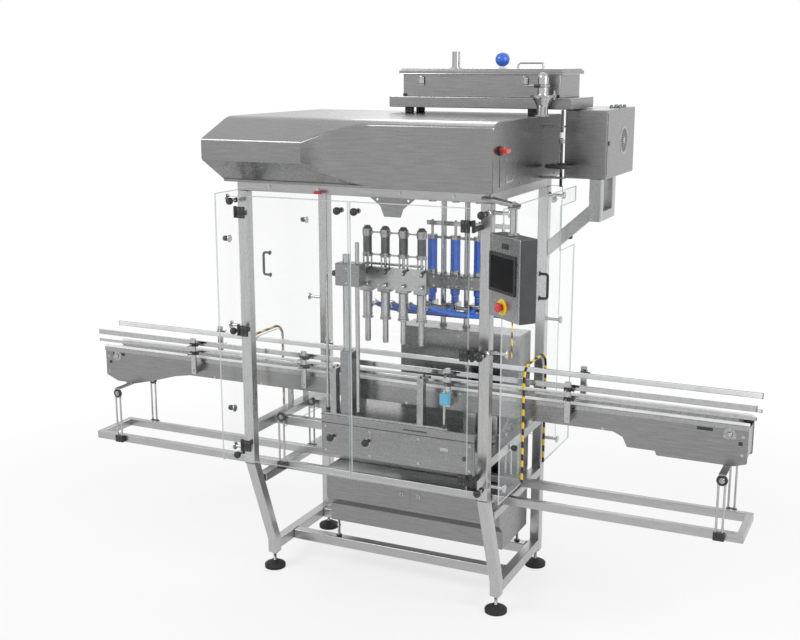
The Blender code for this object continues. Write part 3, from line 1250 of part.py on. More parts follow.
def build_rear_guard(machine):
    """Clear sheet across the back."""
    reach = POST_X + 0.043
    sheet = box((-reach, GUARD_REAR_Y - 0.023, GUARD_BOTTOM_Z), (reach, GUARD_REAR_Y - 0.017, GUARD_TOP_Z))
    machine.add("rear_guard", [sheet], CLEAR)


# Operator panel

def panel_place():
    """Matrix of the operator panel: u along its face, v up, w out of its face."""
    along = Vector((math.cos(PANEL_TURN), -math.sin(PANEL_TURN), 0))
    out = Vector((-math.sin(PANEL_TURN), -math.cos(PANEL_TURN), 0))
    centre_z = PANEL_TOP_Z - PANEL_HEIGHT / 2
    return axes(along, Vector((0, 0, 1)), out, (PANEL_X, PANEL_Y, centre_z))


def build_panel(machine):
    """Swivelling operator panel with its screen, stop button and carrying arm."""
    place = panel_place()
    pivot = (PANEL_X, PANEL_Y, PANEL_TOP_Z)
    wide, tall, deep = PANEL_WIDTH / 2, PANEL_HEIGHT / 2, PANEL_DEPTH / 2
    case = box((-wide, -tall, -deep), (wide, tall, deep))
    bmesh.ops.bevel(case, geom=list(case.edges), offset=0.003, segments=1, affect="EDGES")
    case.transform(place)
    screen = box((-wide + 0.006, -0.062, deep - LAP), (wide - 0.028, 0.098, deep + 0.005))
    screen.transform(place)
    stop = place @ Matrix.Translation((-0.010, -0.118, deep))
    plate = turned([(0.034, 0.003), (0.034, -LAP), (0.013, -LAP), (0.013, 0.003)], 16, True, stop)
    panel = machine.add("panel_box", [case, screen, plate], STEEL, pivot=pivot)
    well = cylinder((0, 0, -0.022), (0, 0, 0.010), 0.0125, 14)
    well.transform(stop)
    machine.cut(panel, machine.cutter("stop_well", well))
    cap = turned([(0.0, 0.030), (0.012, 0.029), (0.019, 0.024), (0.020, 0.016), (0.016, 0.0125),
                  (0.0115, 0.012), (0.0115, -0.010), (0.0, -0.010)], 14, place=stop)
    machine.add("stop_button", [cap], RED, pivot=stop.translation)

    skirt_z = POST_TOP_Z + 0.006
    start = Vector((POST_X - 0.010, FRONT_POST_Y - TUBE / 2 - GAP))
    goal = Vector((PANEL_X, PANEL_Y))
    along = (goal - start).normalized()
    across = Vector((-along.y, along.x)) * 0.019
    end = goal + along * 0.024
    corner = Vector((start.x + 0.040, start.y))
    plan = [tuple(start), tuple(corner), tuple(end + across), tuple(end - across),
            (start.x, start.y - 0.030)]
    arm = outline(plan, 0.014, xy_plane(skirt_z + 0.018))
    post = cylinder((PANEL_X, PANEL_Y, PANEL_TOP_Z + GAP), (PANEL_X, PANEL_Y, skirt_z + 0.011 + LAP),
                    0.015, 12)
    machine.add("panel_arm", [arm, post], BRIGHT)


def main():
    """Build every sub-part."""
    clear_scene()
    machine = Machine()
    build_frame(machine)
    build_top_frame(machine)
    build_hood(machine)
    build_hopper(machine)
    build_feed_valve(machine)
    build_control_box(machine)
    build_conveyor(machine)
    build_guides(machine)
    build_support(machine)
    build_table(machine)
    build_dosing(machine)
    build_nozzles(machine)
    build_lane_fittings(machine)
    build_side_guards(machine)
    build_doors(machine)
    build_rear_guard(machine)
    build_panel(machine)


main()
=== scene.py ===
"""Looks of a four-head piston filling machine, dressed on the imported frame.

The frame gives every node's place. Each sub-assembly is a class that builds the fine pieces
in metres, gives them their finishes and lets them ride on the body they belong to.
"""

import logging
import math
from dataclasses import dataclass
from enum import Enum
from typing import Any, Iterable, Sequence

import bmesh
import bpy
from mathutils import Matrix, Vector


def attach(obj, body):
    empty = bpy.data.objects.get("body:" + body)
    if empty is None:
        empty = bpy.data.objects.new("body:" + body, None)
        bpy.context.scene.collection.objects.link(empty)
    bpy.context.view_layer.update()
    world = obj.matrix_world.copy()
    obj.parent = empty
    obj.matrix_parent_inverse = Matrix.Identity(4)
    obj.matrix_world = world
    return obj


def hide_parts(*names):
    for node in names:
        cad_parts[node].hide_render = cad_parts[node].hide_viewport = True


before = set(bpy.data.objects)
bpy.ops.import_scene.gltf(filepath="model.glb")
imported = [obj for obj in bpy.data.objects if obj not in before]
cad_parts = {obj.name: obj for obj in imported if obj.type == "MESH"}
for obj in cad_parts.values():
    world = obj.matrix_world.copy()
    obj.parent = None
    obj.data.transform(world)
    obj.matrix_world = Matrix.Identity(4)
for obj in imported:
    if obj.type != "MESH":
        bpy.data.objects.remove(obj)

Point = Sequence[float]
Flat = Sequence[Sequence[float]]
LOG = logging.getLogger("filling_machine")
UP, FRONT, BACK, LEFT, RIGHT = (0, 0, 1), (0, -1, 0), (0, 1, 0), (-1, 0, 0), (1, 0, 0)


# Shader trees

class Value:
    """A shader socket that takes part in Python arithmetic."""

    def __init__(self, tree: "ShaderTree", socket: bpy.types.NodeSocket) -> None:
        """Wrap one output socket of a tree."""
        self.tree, self.socket = tree, socket

    def math(self, operation: str, *others: Any, swap: bool = False) -> "Value":
        """Add a Math node on this value.

        Args:
            operation: the node's operation.
            others: further values or numbers.
            swap: puts this value last.

        Returns:
            The node's output.
        """
        row = (*others, self) if swap else (self, *others)
        return self.tree.node("ShaderNodeMath", {"operation": operation}, dict(enumerate(row)))

    def __add__(self, other: Any) -> "Value":
        """Sum."""
        return self.math("ADD", other)

    def __mul__(self, other: Any) -> "Value":
        """Product."""
        return self.math("MULTIPLY", other)

    def __sub__(self, other: Any) -> "Value":
        """Difference."""
        return self.math("SUBTRACT", other)

    def __rsub__(self, other: Any) -> "Value":
        """Difference with this value on the right."""
        return self.math("SUBTRACT", other, swap=True)

    def __gt__(self, other: Any) -> "Value":
        """Mask that is 1 where this value is the greater."""
        return self.math("GREATER_THAN", other)

    def __lt__(self, other: Any) -> "Value":
        """Mask that is 1 where this value is the lesser."""
        return self.math("LESS_THAN", other)

    __radd__ = __add__
    __rmul__ = __mul__


class ShaderTree:
    """One material's node tree, made node by node."""

    def __init__(self, name: str) -> None:
        """Start an empty tree with its output node."""
        self.material = bpy.data.materials.new(name)
        self.material.use_nodes = True
        self.nodes = self.material.node_tree.nodes
        self.links = self.material.node_tree.links
        self.nodes.clear()
        self.output = self.nodes.new("ShaderNodeOutputMaterial")

    def node(self, kind: str, settings: dict | None = None, inputs: dict | None = None,
             out: int | str = 0) -> Value:
        """Add a node.

        Args:
            kind: the node's type.
            settings: its settings; "stops" are a ramp's (position, colour) pairs.
            inputs: value, number or colour by socket name or index.
            out: the output socket to return.

        Returns:
            The output socket as a Value.
        """
        made = self.nodes.new(kind)
        for key, value in (settings or {}).items():
            if key == "stops":
                ramp = made.color_ramp.elements
                for element, (place, tone) in zip((ramp[0], ramp[1]), value):
                    element.position, element.color = place, tone
            else:
                setattr(made, key, value)
        for key, value in (inputs or {}).items():
            if isinstance(value, Value):
                self.links.new(value.socket, made.inputs[key])
            elif value is not None:
                made.inputs[key].default_value = value
        return Value(self, made.outputs[out])

    def place(self, scale: Point = (1, 1, 1), turn: Point = (0, 0, 0),
              source: str = "Object") -> Value:
        """Object or UV coordinates through a Mapping node."""
        start = self.node("ShaderNodeTexCoord", out=source)
        return self.node("ShaderNodeMapping", None,
                         {"Vector": start, "Scale": scale, "Rotation": turn})

    def noise(self, place: Value, scale: float, detail: float = 2.0, rough: float = 0.5) -> Value:
        """Noise in 0 to 1 at a place."""
        return self.node("ShaderNodeTexNoise", None,
                         {"Vector": place, "Scale": scale, "Detail": detail, "Roughness": rough})

    def mix(self, factor: Any, first: Any, second: Any) -> Value:
        """Mix of two colours by a factor."""
        settings = {"data_type": "RGBA", "clamp_factor": True}
        return self.node("ShaderNodeMix", settings, {0: factor, 6: first, 7: second}, 2)

    def bump(self, height: Value, strength: float, distance: float) -> Value:
        """Normal bent by a height."""
        return self.node("ShaderNodeBump", None,
                         {"Strength": strength, "Distance": distance, "Height": height})

    def surface(self, **sockets: Any) -> bpy.types.Material:
        """Close the tree with a Principled shader.

        Args:
            sockets: values by socket name, with underscores for spaces.

        Returns:
            The finished material.
        """
        named = {key.replace("_", " "): value for key, value in sockets.items()}
        shader = self.node("ShaderNodeBsdfPrincipled", None, named)
        self.links.new(shader.socket, self.output.inputs["Surface"])
        return self.material


def colour(red: float, green: float, blue: float) -> tuple[float, float, float, float]:
    """Opaque colour from its three parts."""
    return (red, green, blue, 1.0)


def grey(tone: float) -> tuple[float, float, float, float]:
    """Opaque neutral grey."""
    return colour(tone, tone, tone)


# Finishes

class Grain(Enum):
    """Axis along which a sheet or tube was brushed; turned parts have none."""

    ALONG_X = 0
    ALONG_Y = 1
    ALONG_Z = 2
    TURNED = 3


class Finish:
    """A surface finish that makes its material when it is first asked for."""

    made: dict[str, bpy.types.Material] = {}
    name: str

    def build(self) -> bpy.types.Material:
        """Make the material."""
        raise NotImplementedError

    def material(self) -> bpy.types.Material:
        """The finish's one material."""
        if self.name not in Finish.made:
            Finish.made[self.name] = self.build()
        return Finish.made[self.name]


@dataclass(frozen=True)
class Steel(Finish):
    """Stainless steel with a brushed grain, soft clouds and fine scratches."""

    name: str
    tone: float = 0.40
    grain: Grain = Grain.ALONG_X
    roughness: float = 0.33
    contrast: float = 0.16
    slot: str = "stainless"

    def build(self) -> bpy.types.Material:
        """Make the material."""
        tree = ShaderTree(self.name)
        turned = self.grain is Grain.TURNED
        brushed = tree.place((14, 14, 14)) if turned else tree.place((2.0, 26, 1), source="UV")
        fine = tree.noise(brushed, 22.0, 3.0, 0.6)
        broad = tree.noise(brushed, 5.0, 3.0)
        cloud = tree.noise(tree.place(), 3.2, 3.0)
        streak = fine * 0.35 + broad * 0.50 + cloud * 0.15
        low, high = self.tone * (1 - self.contrast), self.tone * (1 + self.contrast)
        base = tree.mix(streak * 2.8 - 0.9, colour(low, low, low * 1.01),
                        colour(high, high, high * 0.995))
        rough = (fine - 0.5) * 0.10 + (cloud - 0.5) * 0.08 + self.roughness
        return tree.surface(Base_Color=base, Metallic=1.0, Roughness=rough,
                            Normal=tree.bump(fine, 0.12, 0.0004))


@dataclass(frozen=True)
class Plastic(Finish):
    """Moulded plastic, rubber or paint with a faint grain and handling marks."""

    name: str
    tint: tuple[float, float, float] = (0.018, 0.018, 0.020)
    roughness: float = 0.42
    texture: float = 0.25
    coat: float = 0.0
    slot: str = "black_plastic"
    specular: float = 0.5

    def build(self) -> bpy.types.Material:
        """Make the material."""
        tree = ShaderTree(self.name)
        place = tree.place()
        pores, wear = tree.noise(place, 900.0, 2.0), tree.noise(place, 14.0, 4.0, 0.6)
        light = [min(1.0, part * 1.35 + 0.006) for part in self.tint]
        base = tree.mix(wear * 1.6 - 0.45, colour(*self.tint), colour(*light))
        rough = (wear - 0.5) * 0.22 + self.roughness
        return tree.surface(Base_Color=base, Roughness=rough, Coat_Weight=self.coat,
                            Specular_IOR_Level=self.specular,
                            Normal=tree.bump(pores, self.texture, 0.0003))


@dataclass(frozen=True)
class Clear(Finish):
    """Clear guard sheet, faintly marked by cleaning, whose pale colour shows more towards grazing
    angles as a painted sheen.
    """

    name: str
    body: float = 0.05
    # sheen: strength of the painted sheen towards grazing angles.
    sheen: float = 0.45
    tint: tuple[float, float, float] = (0.90, 0.94, 0.95)
    slot: str = "clear_sheet"

    def build(self) -> bpy.types.Material:
        """Make the material."""
        tree = ShaderTree(self.name)
        wipes = tree.noise(tree.place((2.0, 2.0, 9.0), (0.5, 0.3, 0.2)), 4.0, 3.0)
        facing = tree.node("ShaderNodeLayerWeight", None, {"Blend": 0.35}, "Facing")
        # Painted sheen: the pale sheet grows more opaque towards grazing angles.
        alpha = facing.math("POWER", 3.0) * self.sheen + wipes * 0.02 + self.body
        return tree.surface(Base_Color=colour(*self.tint), Roughness=wipes * 0.08 + 0.02,
                            Alpha=alpha, Specular_IOR_Level=0.6)


@dataclass(frozen=True)
class Striped(Finish):
    """Warning tape in slanting bands of two colours."""

    name: str
    pitch: float = 0.060
    roughness: float = 0.45
    slot: str = "black_plastic"

    def build(self) -> bpy.types.Material:
        """Make the material."""
        tree = ShaderTree(self.name)
        place = tree.place()
        parts = tree.node("ShaderNodeSeparateXYZ", None, {0: place})
        _, along, up = (Value(tree, socket) for socket in parts.socket.node.outputs)
        band = ((along * 0.75 + up + 9.0) * (1 / self.pitch)).math("FRACT")
        dirt = tree.noise(place, 35.0, 4.0, 0.6)
        yellow = tree.mix(dirt, colour(0.80, 0.52, 0.02), colour(0.92, 0.66, 0.05))
        base = tree.mix(band > 0.5, yellow, grey(0.02))
        return tree.surface(Base_Color=base, Roughness=dirt * 0.2 + (self.roughness - 0.1),
                            Normal=tree.bump(tree.noise(place, 400.0), 0.15, 0.0003))


@dataclass(frozen=True)
class Floor(Finish):
    """White studio floor that still takes a soft shadow."""

    name: str = "studio_floor"

    def build(self) -> bpy.types.Material:
        """Make the material."""
        tree = ShaderTree(self.name)
        rays = tree.node("ShaderNodeLightPath")
        seen = Value(tree, rays.socket.node.outputs["Is Camera Ray"])
        for kind in ("Is Glossy Ray", "Is Transmission Ray"):
            seen = seen + Value(tree, rays.socket.node.outputs[kind])
        far = tree.node("ShaderNodeVectorMath", {"operation": "LENGTH"}, {0: tree.place()}, "Value")
        fade = (far - 2.2) * 0.2
        glow = tree.node("ShaderNodeEmission", None, {"Color": grey(1.0), "Strength": 1.0})
        matt = tree.node("ShaderNodeBsdfDiffuse", None, {"Color": grey(0.88)})
        share = (fade.math("MAXIMUM", 0.0) + 0.72).math("MINIMUM", 1.0) * seen.math("MINIMUM", 1.0)
        shown = tree.node("ShaderNodeMixShader", None, {0: share, 1: matt, 2: glow})
        tree.links.new(shown.socket, tree.output.inputs["Surface"])
        return tree.material


FRAME_STEEL = Steel("frame_steel", 0.47, Grain.ALONG_Z, 0.28, 0.14)
BEAM_STEEL = Steel("beam_steel", 0.43, Grain.ALONG_X, 0.30, 0.14)
CROSS_STEEL = Steel("cross_steel", 0.43, Grain.ALONG_Y, 0.30, 0.14)
HOOD_STEEL = Steel("hood_steel", 0.260, Grain.ALONG_X, 0.27, 0.17)
SHEET_STEEL = Steel("sheet_steel", 0.265, Grain.ALONG_X, 0.28, 0.18)
BRIGHT_STEEL = Steel("bright_steel", 0.46, Grain.TURNED, 0.15, 0.14, "bright_steel")
SATIN_STEEL = Steel("satin_steel", 0.36, Grain.TURNED, 0.22, 0.20, "bright_steel")
DARK_STEEL = Steel("dark_steel", 0.12, Grain.TURNED, 0.30, 0.20, "bright_steel")
PANEL_GREY = Plastic("grey_paint", (0.045, 0.046, 0.048), 0.38, 0.5, 0.0, "stainless")
CAST_GREY = Plastic("cast_grey", (0.23, 0.24, 0.25), 0.45, 0.5, 0.0, "cast_grey")
BLACK = Plastic("black_moulding")
RUBBER = Plastic("black_rubber", (0.014, 0.014, 0.015), 0.72, 0.5)
SCREEN = Plastic("dark_screen", (0.004, 0.004, 0.005), 0.30, 0.02, specular=0.12)
RED = Plastic("red_moulding", (0.58, 0.025, 0.02), 0.30, 0.1, 0.3, "red_plastic")
YELLOW = Plastic("yellow_moulding", (0.86, 0.60, 0.03), 0.40, 0.1, 0.1)
WHITE = Plastic("white_plastic", (0.78, 0.79, 0.79), 0.42, 0.2)
BLUE = Plastic("blue_moulding", (0.025, 0.13, 0.62), 0.26, 0.08, 0.5, "blue_plastic")
BLUE_HOSE = Plastic("blue_hose", (0.03, 0.16, 0.66), 0.34, 0.15, 0.2, "blue_hose")
SKY = Plastic("pale_blue_moulding", (0.10, 0.42, 0.62), 0.36, 0.1, 0.2, "blue_plastic")
CLEAR_SHEET = Clear("clear_sheet", 0.012, 0.50)
CLEAR_EDGE = Clear("clear_sheet_edge", 0.55, 0.4, (0.66, 0.72, 0.72))
TAPE = Striped("striped_tape")


# Mesh code

def aimed(start: Point, axis: Point) -> Matrix:
    """Place whose Z runs along an axis from a start point."""
    turn = Vector(UP).rotation_difference(Vector(axis)).to_matrix().to_4x4()
    return Matrix.Translation(Vector(start)) @ turn


def drawn(u_axis: Point, v_axis: Point, origin: Point) -> Matrix:
    """Drawing plane with its two axes through an origin."""
    u, v = Vector(u_axis).normalized(), Vector(v_axis).normalized()
    turn = Matrix((u, v, u.cross(v))).transposed().to_4x4()
    return Matrix.Translation(Vector(origin)) @ turn


def facing_front(y: float) -> Matrix:
    """Drawing plane seen from the operator's side."""
    return drawn(RIGHT, UP, (0, y, 0))


def facing_side(x: float) -> Matrix:
    """Drawing plane seen from the right."""
    return drawn(BACK, UP, (x, 0, 0))


def facing_up(z: float) -> Matrix:
    """Drawing plane seen from above."""
    return drawn(RIGHT, BACK, (0, 0, z))


def rounded(corners: Sequence[Point], radius: float, closed: bool = False,
            steps: int = 6) -> list[Vector]:
    """Round the corners of a path.

    Args:
        corners: the path's corner points.
        radius: the bend's radius.
        closed: whether the path is a loop.
        steps: points in each bend.

    Returns:
        The smooth path.
    """
    points = [Vector(point) for point in corners]
    count = len(points)
    path: list[Vector] = []
    for i, point in enumerate(points):
        if not closed and i in (0, count - 1):
            path.append(point)
            continue
        before, after = points[i - 1] - point, points[(i + 1) % count] - point
        angle = before.angle(after)
        cut = min(radius / max(math.tan(angle / 2), 1e-6), before.length * 0.49,
                  after.length * 0.49)
        first, last = point + before.normalized() * cut, point + after.normalized() * cut
        for j in range(steps + 1):
            t = j / steps
            path.append(first * (1 - t) ** 2 + point * 2 * t * (1 - t) + last * t * t)
    return path


def rectangle(low: Point, high: Point, radius: float = 0.0, steps: int = 4) -> list[Vector]:
    """Rounded rectangle in a drawing plane."""
    corners = [(low[0], low[1]), (high[0], low[1]), (high[0], high[1]), (low[0], high[1])]
    flat = [(*corner, 0.0) for corner in corners]
    return rounded(flat, radius, True, steps) if radius else [Vector(p) for p in flat]


def level_loop(low: Point, high: Point, z: float) -> list[Point]:
    """Four corners of a rectangle that lies at a height."""
    return [(low[0], low[1], z), (high[0], low[1], z), (high[0], high[1], z), (low[0], high[1], z)]


def ring(centre: Point, radius: float, steps: int = 32) -> list[Vector]:
    """Circle in a drawing plane."""
    turns = [math.tau * i / steps for i in range(steps)]
    return [Vector((centre[0] + radius * math.cos(t), centre[1] + radius * math.sin(t), 0))
            for t in turns]


def inset(loop: Sequence[Point], distance: float) -> list[Vector]:
    """Closed outline moved inwards, with its corners kept square."""
    points = [Vector(point[:2]) for point in loop]
    area = sum(a.cross(b) for a, b in zip(points, points[1:] + points[:1]))
    side = distance if area > 0 else -distance
    found = []
    for before, here, after in zip(points[-1:] + points[:-1], points, points[1:] + points[:1]):
        first, second = (here - before).normalized(), (after - here).normalized()
        normals = Vector((-first.y, first.x)), Vector((-second.y, second.x))
        bent = normals[0] + normals[1]
        found.append((here + bent * (side * 2 / bent.length_squared)).to_3d())
    return found


class Form:
    """Mesh code for one piece, which collects solids, each with its finish."""

    def __init__(self, name: str, body: str, *nodes: str) -> None:
        """Start a piece that rides on a body and stands for some nodes."""
        self.name, self.body, self.nodes = name, body, nodes
        self.mesh = bmesh.new()
        self.finishes: list[Finish] = []

    def take(self, solid: bmesh.types.BMesh, finish: Finish, place: Matrix | None = None) -> None:
        """Add a closed solid.

        Args:
            solid: the solid, which is used up.
            finish: its finish.
            place: where it goes.
        """
        if place is not None:
            solid.transform(place)
        bmesh.ops.recalc_face_normals(solid, faces=solid.faces)
        if finish not in self.finishes:
            self.finishes.append(finish)
        for face in solid.faces:
            face.material_index = self.finishes.index(finish)
        scratch = bpy.data.meshes.new("solid")
        solid.to_mesh(scratch)
        solid.free()
        self.mesh.from_mesh(scratch)
        bpy.data.meshes.remove(scratch)

    def block(self, low: Point, high: Point, finish: Finish, edge: float = 0.0015,
              segments: int = 2, place: Matrix | None = None) -> None:
        """Add a box with eased edges between two opposite corners."""
        low, high = Vector(tuple(map(min, low, high))), Vector(tuple(map(max, low, high)))
        solid = bmesh.new()
        size = Matrix.Diagonal((*(high - low), 1.0))
        bmesh.ops.create_cube(solid, size=1.0, matrix=Matrix.Translation((low + high) / 2) @ size)
        bmesh.ops.bevel(solid, geom=solid.edges[:], offset=edge, segments=segments,
                        profile=0.5, affect="EDGES")
        self.take(solid, finish, place)

    def turned(self, profile: Flat, start: Point, axis: Point, finish: Finish,
               sides: int = 32, closed: bool = False) -> None:
        """Add a turned solid.

        Args:
            profile: (radius, height) points along the axis.
            start: the point at height 0.
            axis: the direction of the axis.
            finish: the finish.
            sides: faces round the axis.
            closed: whether the profile is a loop round a hollow.
        """
        solid = bmesh.new()
        rings = []
        for radius, height in profile:
            if radius < 1e-7:
                rings.append([solid.verts.new((0, 0, height))])
                continue
            turns = [math.tau * i / sides for i in range(sides)]
            rings.append([solid.verts.new((radius * math.cos(t), radius * math.sin(t), height))
                          for t in turns])
        pairs = list(zip(rings, rings[1:] + rings[:1])) if closed else list(zip(rings, rings[1:]))
        for lower, upper in pairs:
            for i in range(sides):
                j = (i + 1) % sides
                corners = [lower[i % len(lower)], lower[j % len(lower)],
                           upper[j % len(upper)], upper[i % len(upper)]]
                face = list(dict.fromkeys(corners))
                if len(face) > 2:
                    solid.faces.new(face)
        if not closed:
            for end in (rings[0], rings[-1]):
                if len(end) > 2:
                    solid.faces.new(end)
        self.take(solid, finish, aimed(start, axis))

    def cap(self, sizes: Point, start: Point, axis: Point, finish: Finish, sides: int = 32) -> None:
        """Add a round cap.

        Args:
            sizes: foot radius, height of its straight side, top radius and full height.
            start: the middle of its foot.
            axis: the direction of its axis.
            finish: the finish.
            sides: faces round the axis.
        """
        foot, side, top, height = sizes
        profile = [(0.0, 0.0), (foot, 0.0), (foot, side), (top, height), (0.0, height)]
        self.turned(profile, start, axis, finish, sides)

    def rod(self, start: Point, end: Point, radius: float, finish: Finish, sides: int = 24,
            ease: float = 0.0008) -> None:
        """Add a round bar with eased ends."""
        axis = Vector(end) - Vector(start)
        long = axis.length
        profile = [(radius - ease, 0), (radius, ease), (radius, long - ease), (radius - ease, long)]
        self.turned(profile, start, axis, finish, sides)

    def hexagon(self, centre: Point, axis: Point, across: float, height: float,
                finish: Finish) -> None:
        """Add a hexagon nut or head that starts at a centre."""
        radius = across / math.sqrt(3)
        profile = [(radius * 0.92, 0), (radius, height * 0.15), (radius, height * 0.8),
                   (radius * 0.86, height)]
        self.turned(profile, centre, axis, finish, 6)

    def ball(self, centre: Point, radius: float, finish: Finish, sides: int = 28) -> None:
        """Add a sphere."""
        solid = bmesh.new()
        bmesh.ops.create_uvsphere(solid, u_segments=sides, v_segments=sides // 2, radius=radius,
                                  matrix=Matrix.Translation(Vector(centre)))
        self.take(solid, finish)

    def pipe(self, path: Iterable[Point], radius: float, finish: Finish, fine: int = 4,
             closed: bool = False) -> None:
        """Add a round bar or hose along a path."""
        points = [tuple(point) for point in path]
        data = bpy.data.curves.new("pipe", "CURVE")
        data.dimensions, data.bevel_depth, data.bevel_resolution = "3D", radius, fine
        data.use_fill_caps = True
        spline = data.splines.new("POLY")
        spline.points.add(len(points) - 1)
        for target, point in zip(spline.points, points):
            target.co = (*point, 1.0)
        spline.use_cyclic_u = closed
        self.take(as_solid(data), finish)

    def plate(self, loops: Sequence[Sequence[Point]], thick: float, place: Matrix,
              finish: Finish, edge: float = 0.0005) -> None:
        """Add a flat sheet with holes and eased edges.

        Args:
            loops: the outline, then its holes, in the drawing plane.
            thick: the sheet's thickness, centred on the plane.
            place: the drawing plane.
            finish: the finish.
            edge: how much the edges are eased.
        """
        data = bpy.data.curves.new("plate", "CURVE")
        data.dimensions, data.fill_mode = "2D", "BOTH"
        data.extrude = thick / 2 - edge
        data.bevel_depth, data.bevel_resolution, data.offset = edge, 0, -edge
        for loop in loops:
            spline = data.splines.new("POLY")
            spline.points.add(len(loop) - 1)
            for target, point in zip(spline.points, loop):
                target.co = (point[0], point[1], 0.0, 1.0)
            spline.use_cyclic_u = True
        self.take(as_solid(data), finish, place)

    def tube(self, low: Point, high: Point, finish: Finish, edge: float = 0.005) -> None:
        """Add a square tube whose long edges are rounded."""
        self.block(low, high, finish, edge, 3)

    def lay_grain(self, mesh: bpy.types.Mesh) -> None:
        """Give each face UVs whose U runs along the grain of its finish."""
        axes = [getattr(finish, "grain", Grain.ALONG_X).value % 3 for finish in self.finishes]
        for old in list(mesh.uv_layers):
            mesh.uv_layers.remove(old)
        layer = mesh.uv_layers.new(name="grain")
        for face in mesh.polygons:
            facing = max(range(3), key=lambda axis: abs(face.normal[axis]))
            along = axes[face.material_index]
            if along == facing:
                along = (facing + 1) % 3
            other = 3 - along - facing
            for corner in face.loop_indices:
                point = mesh.vertices[mesh.loops[corner].vertex_index].co
                layer.data[corner].uv = (point[along], point[other] + 7.3 * facing)

    def piece(self, sharp: float = 38.0) -> bpy.types.Object:
        """Close the piece: shade it, dress it, let it ride and stand for its nodes.

        Args:
            sharp: angle in degrees from which an edge stays sharp.

        Returns:
            The finished object.
        """
        mesh = bpy.data.meshes.new(self.name)
        self.mesh.to_mesh(mesh)
        self.mesh.free()
        mesh.shade_smooth()
        mesh.set_sharp_from_angle(angle=math.radians(sharp))
        for finish in self.finishes:
            mesh.materials.append(finish.material())
        self.lay_grain(mesh)
        made = linked(self.name, mesh)
        even = made.modifiers.new("even_normals", "WEIGHTED_NORMAL")
        even.keep_sharp = True
        made.data = evaluated(made)
        made.modifiers.clear()
        return settle(made, self.body, self.nodes, getattr(self.finishes[0], "slot", ""))


def linked(name: str, data: bpy.types.ID) -> bpy.types.Object:
    """New object that holds some data, in the scene."""
    made = bpy.data.objects.new(name, data)
    bpy.context.scene.collection.objects.link(made)
    return made


def evaluated(made: bpy.types.Object) -> bpy.types.Mesh:
    """The object's mesh with its modifiers applied."""
    bpy.context.view_layer.update()
    graph = bpy.context.evaluated_depsgraph_get()
    return bpy.data.meshes.new_from_object(made.evaluated_get(graph))


def as_solid(data: bpy.types.Curve) -> bmesh.types.BMesh:
    """A curve's closed mesh."""
    scratch = linked("scratch", data)
    mesh = evaluated(scratch)
    bpy.data.objects.remove(scratch, do_unlink=True)
    solid = bmesh.new()
    solid.from_mesh(mesh)
    bpy.data.meshes.remove(mesh)
    bmesh.ops.remove_doubles(solid, verts=solid.verts, dist=0.000002)
    return solid


def settle(made: bpy.types.Object, body: str, nodes: Sequence[str], slot: str) -> bpy.types.Object:
    """Let a finished piece ride on its body and stand for its nodes."""
    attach(made, body)
    if nodes:
        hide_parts(*nodes)
    LOG.info("%s rides on %s with %d faces", made.name, body, len(made.data.polygons))
    return made


# Repeats

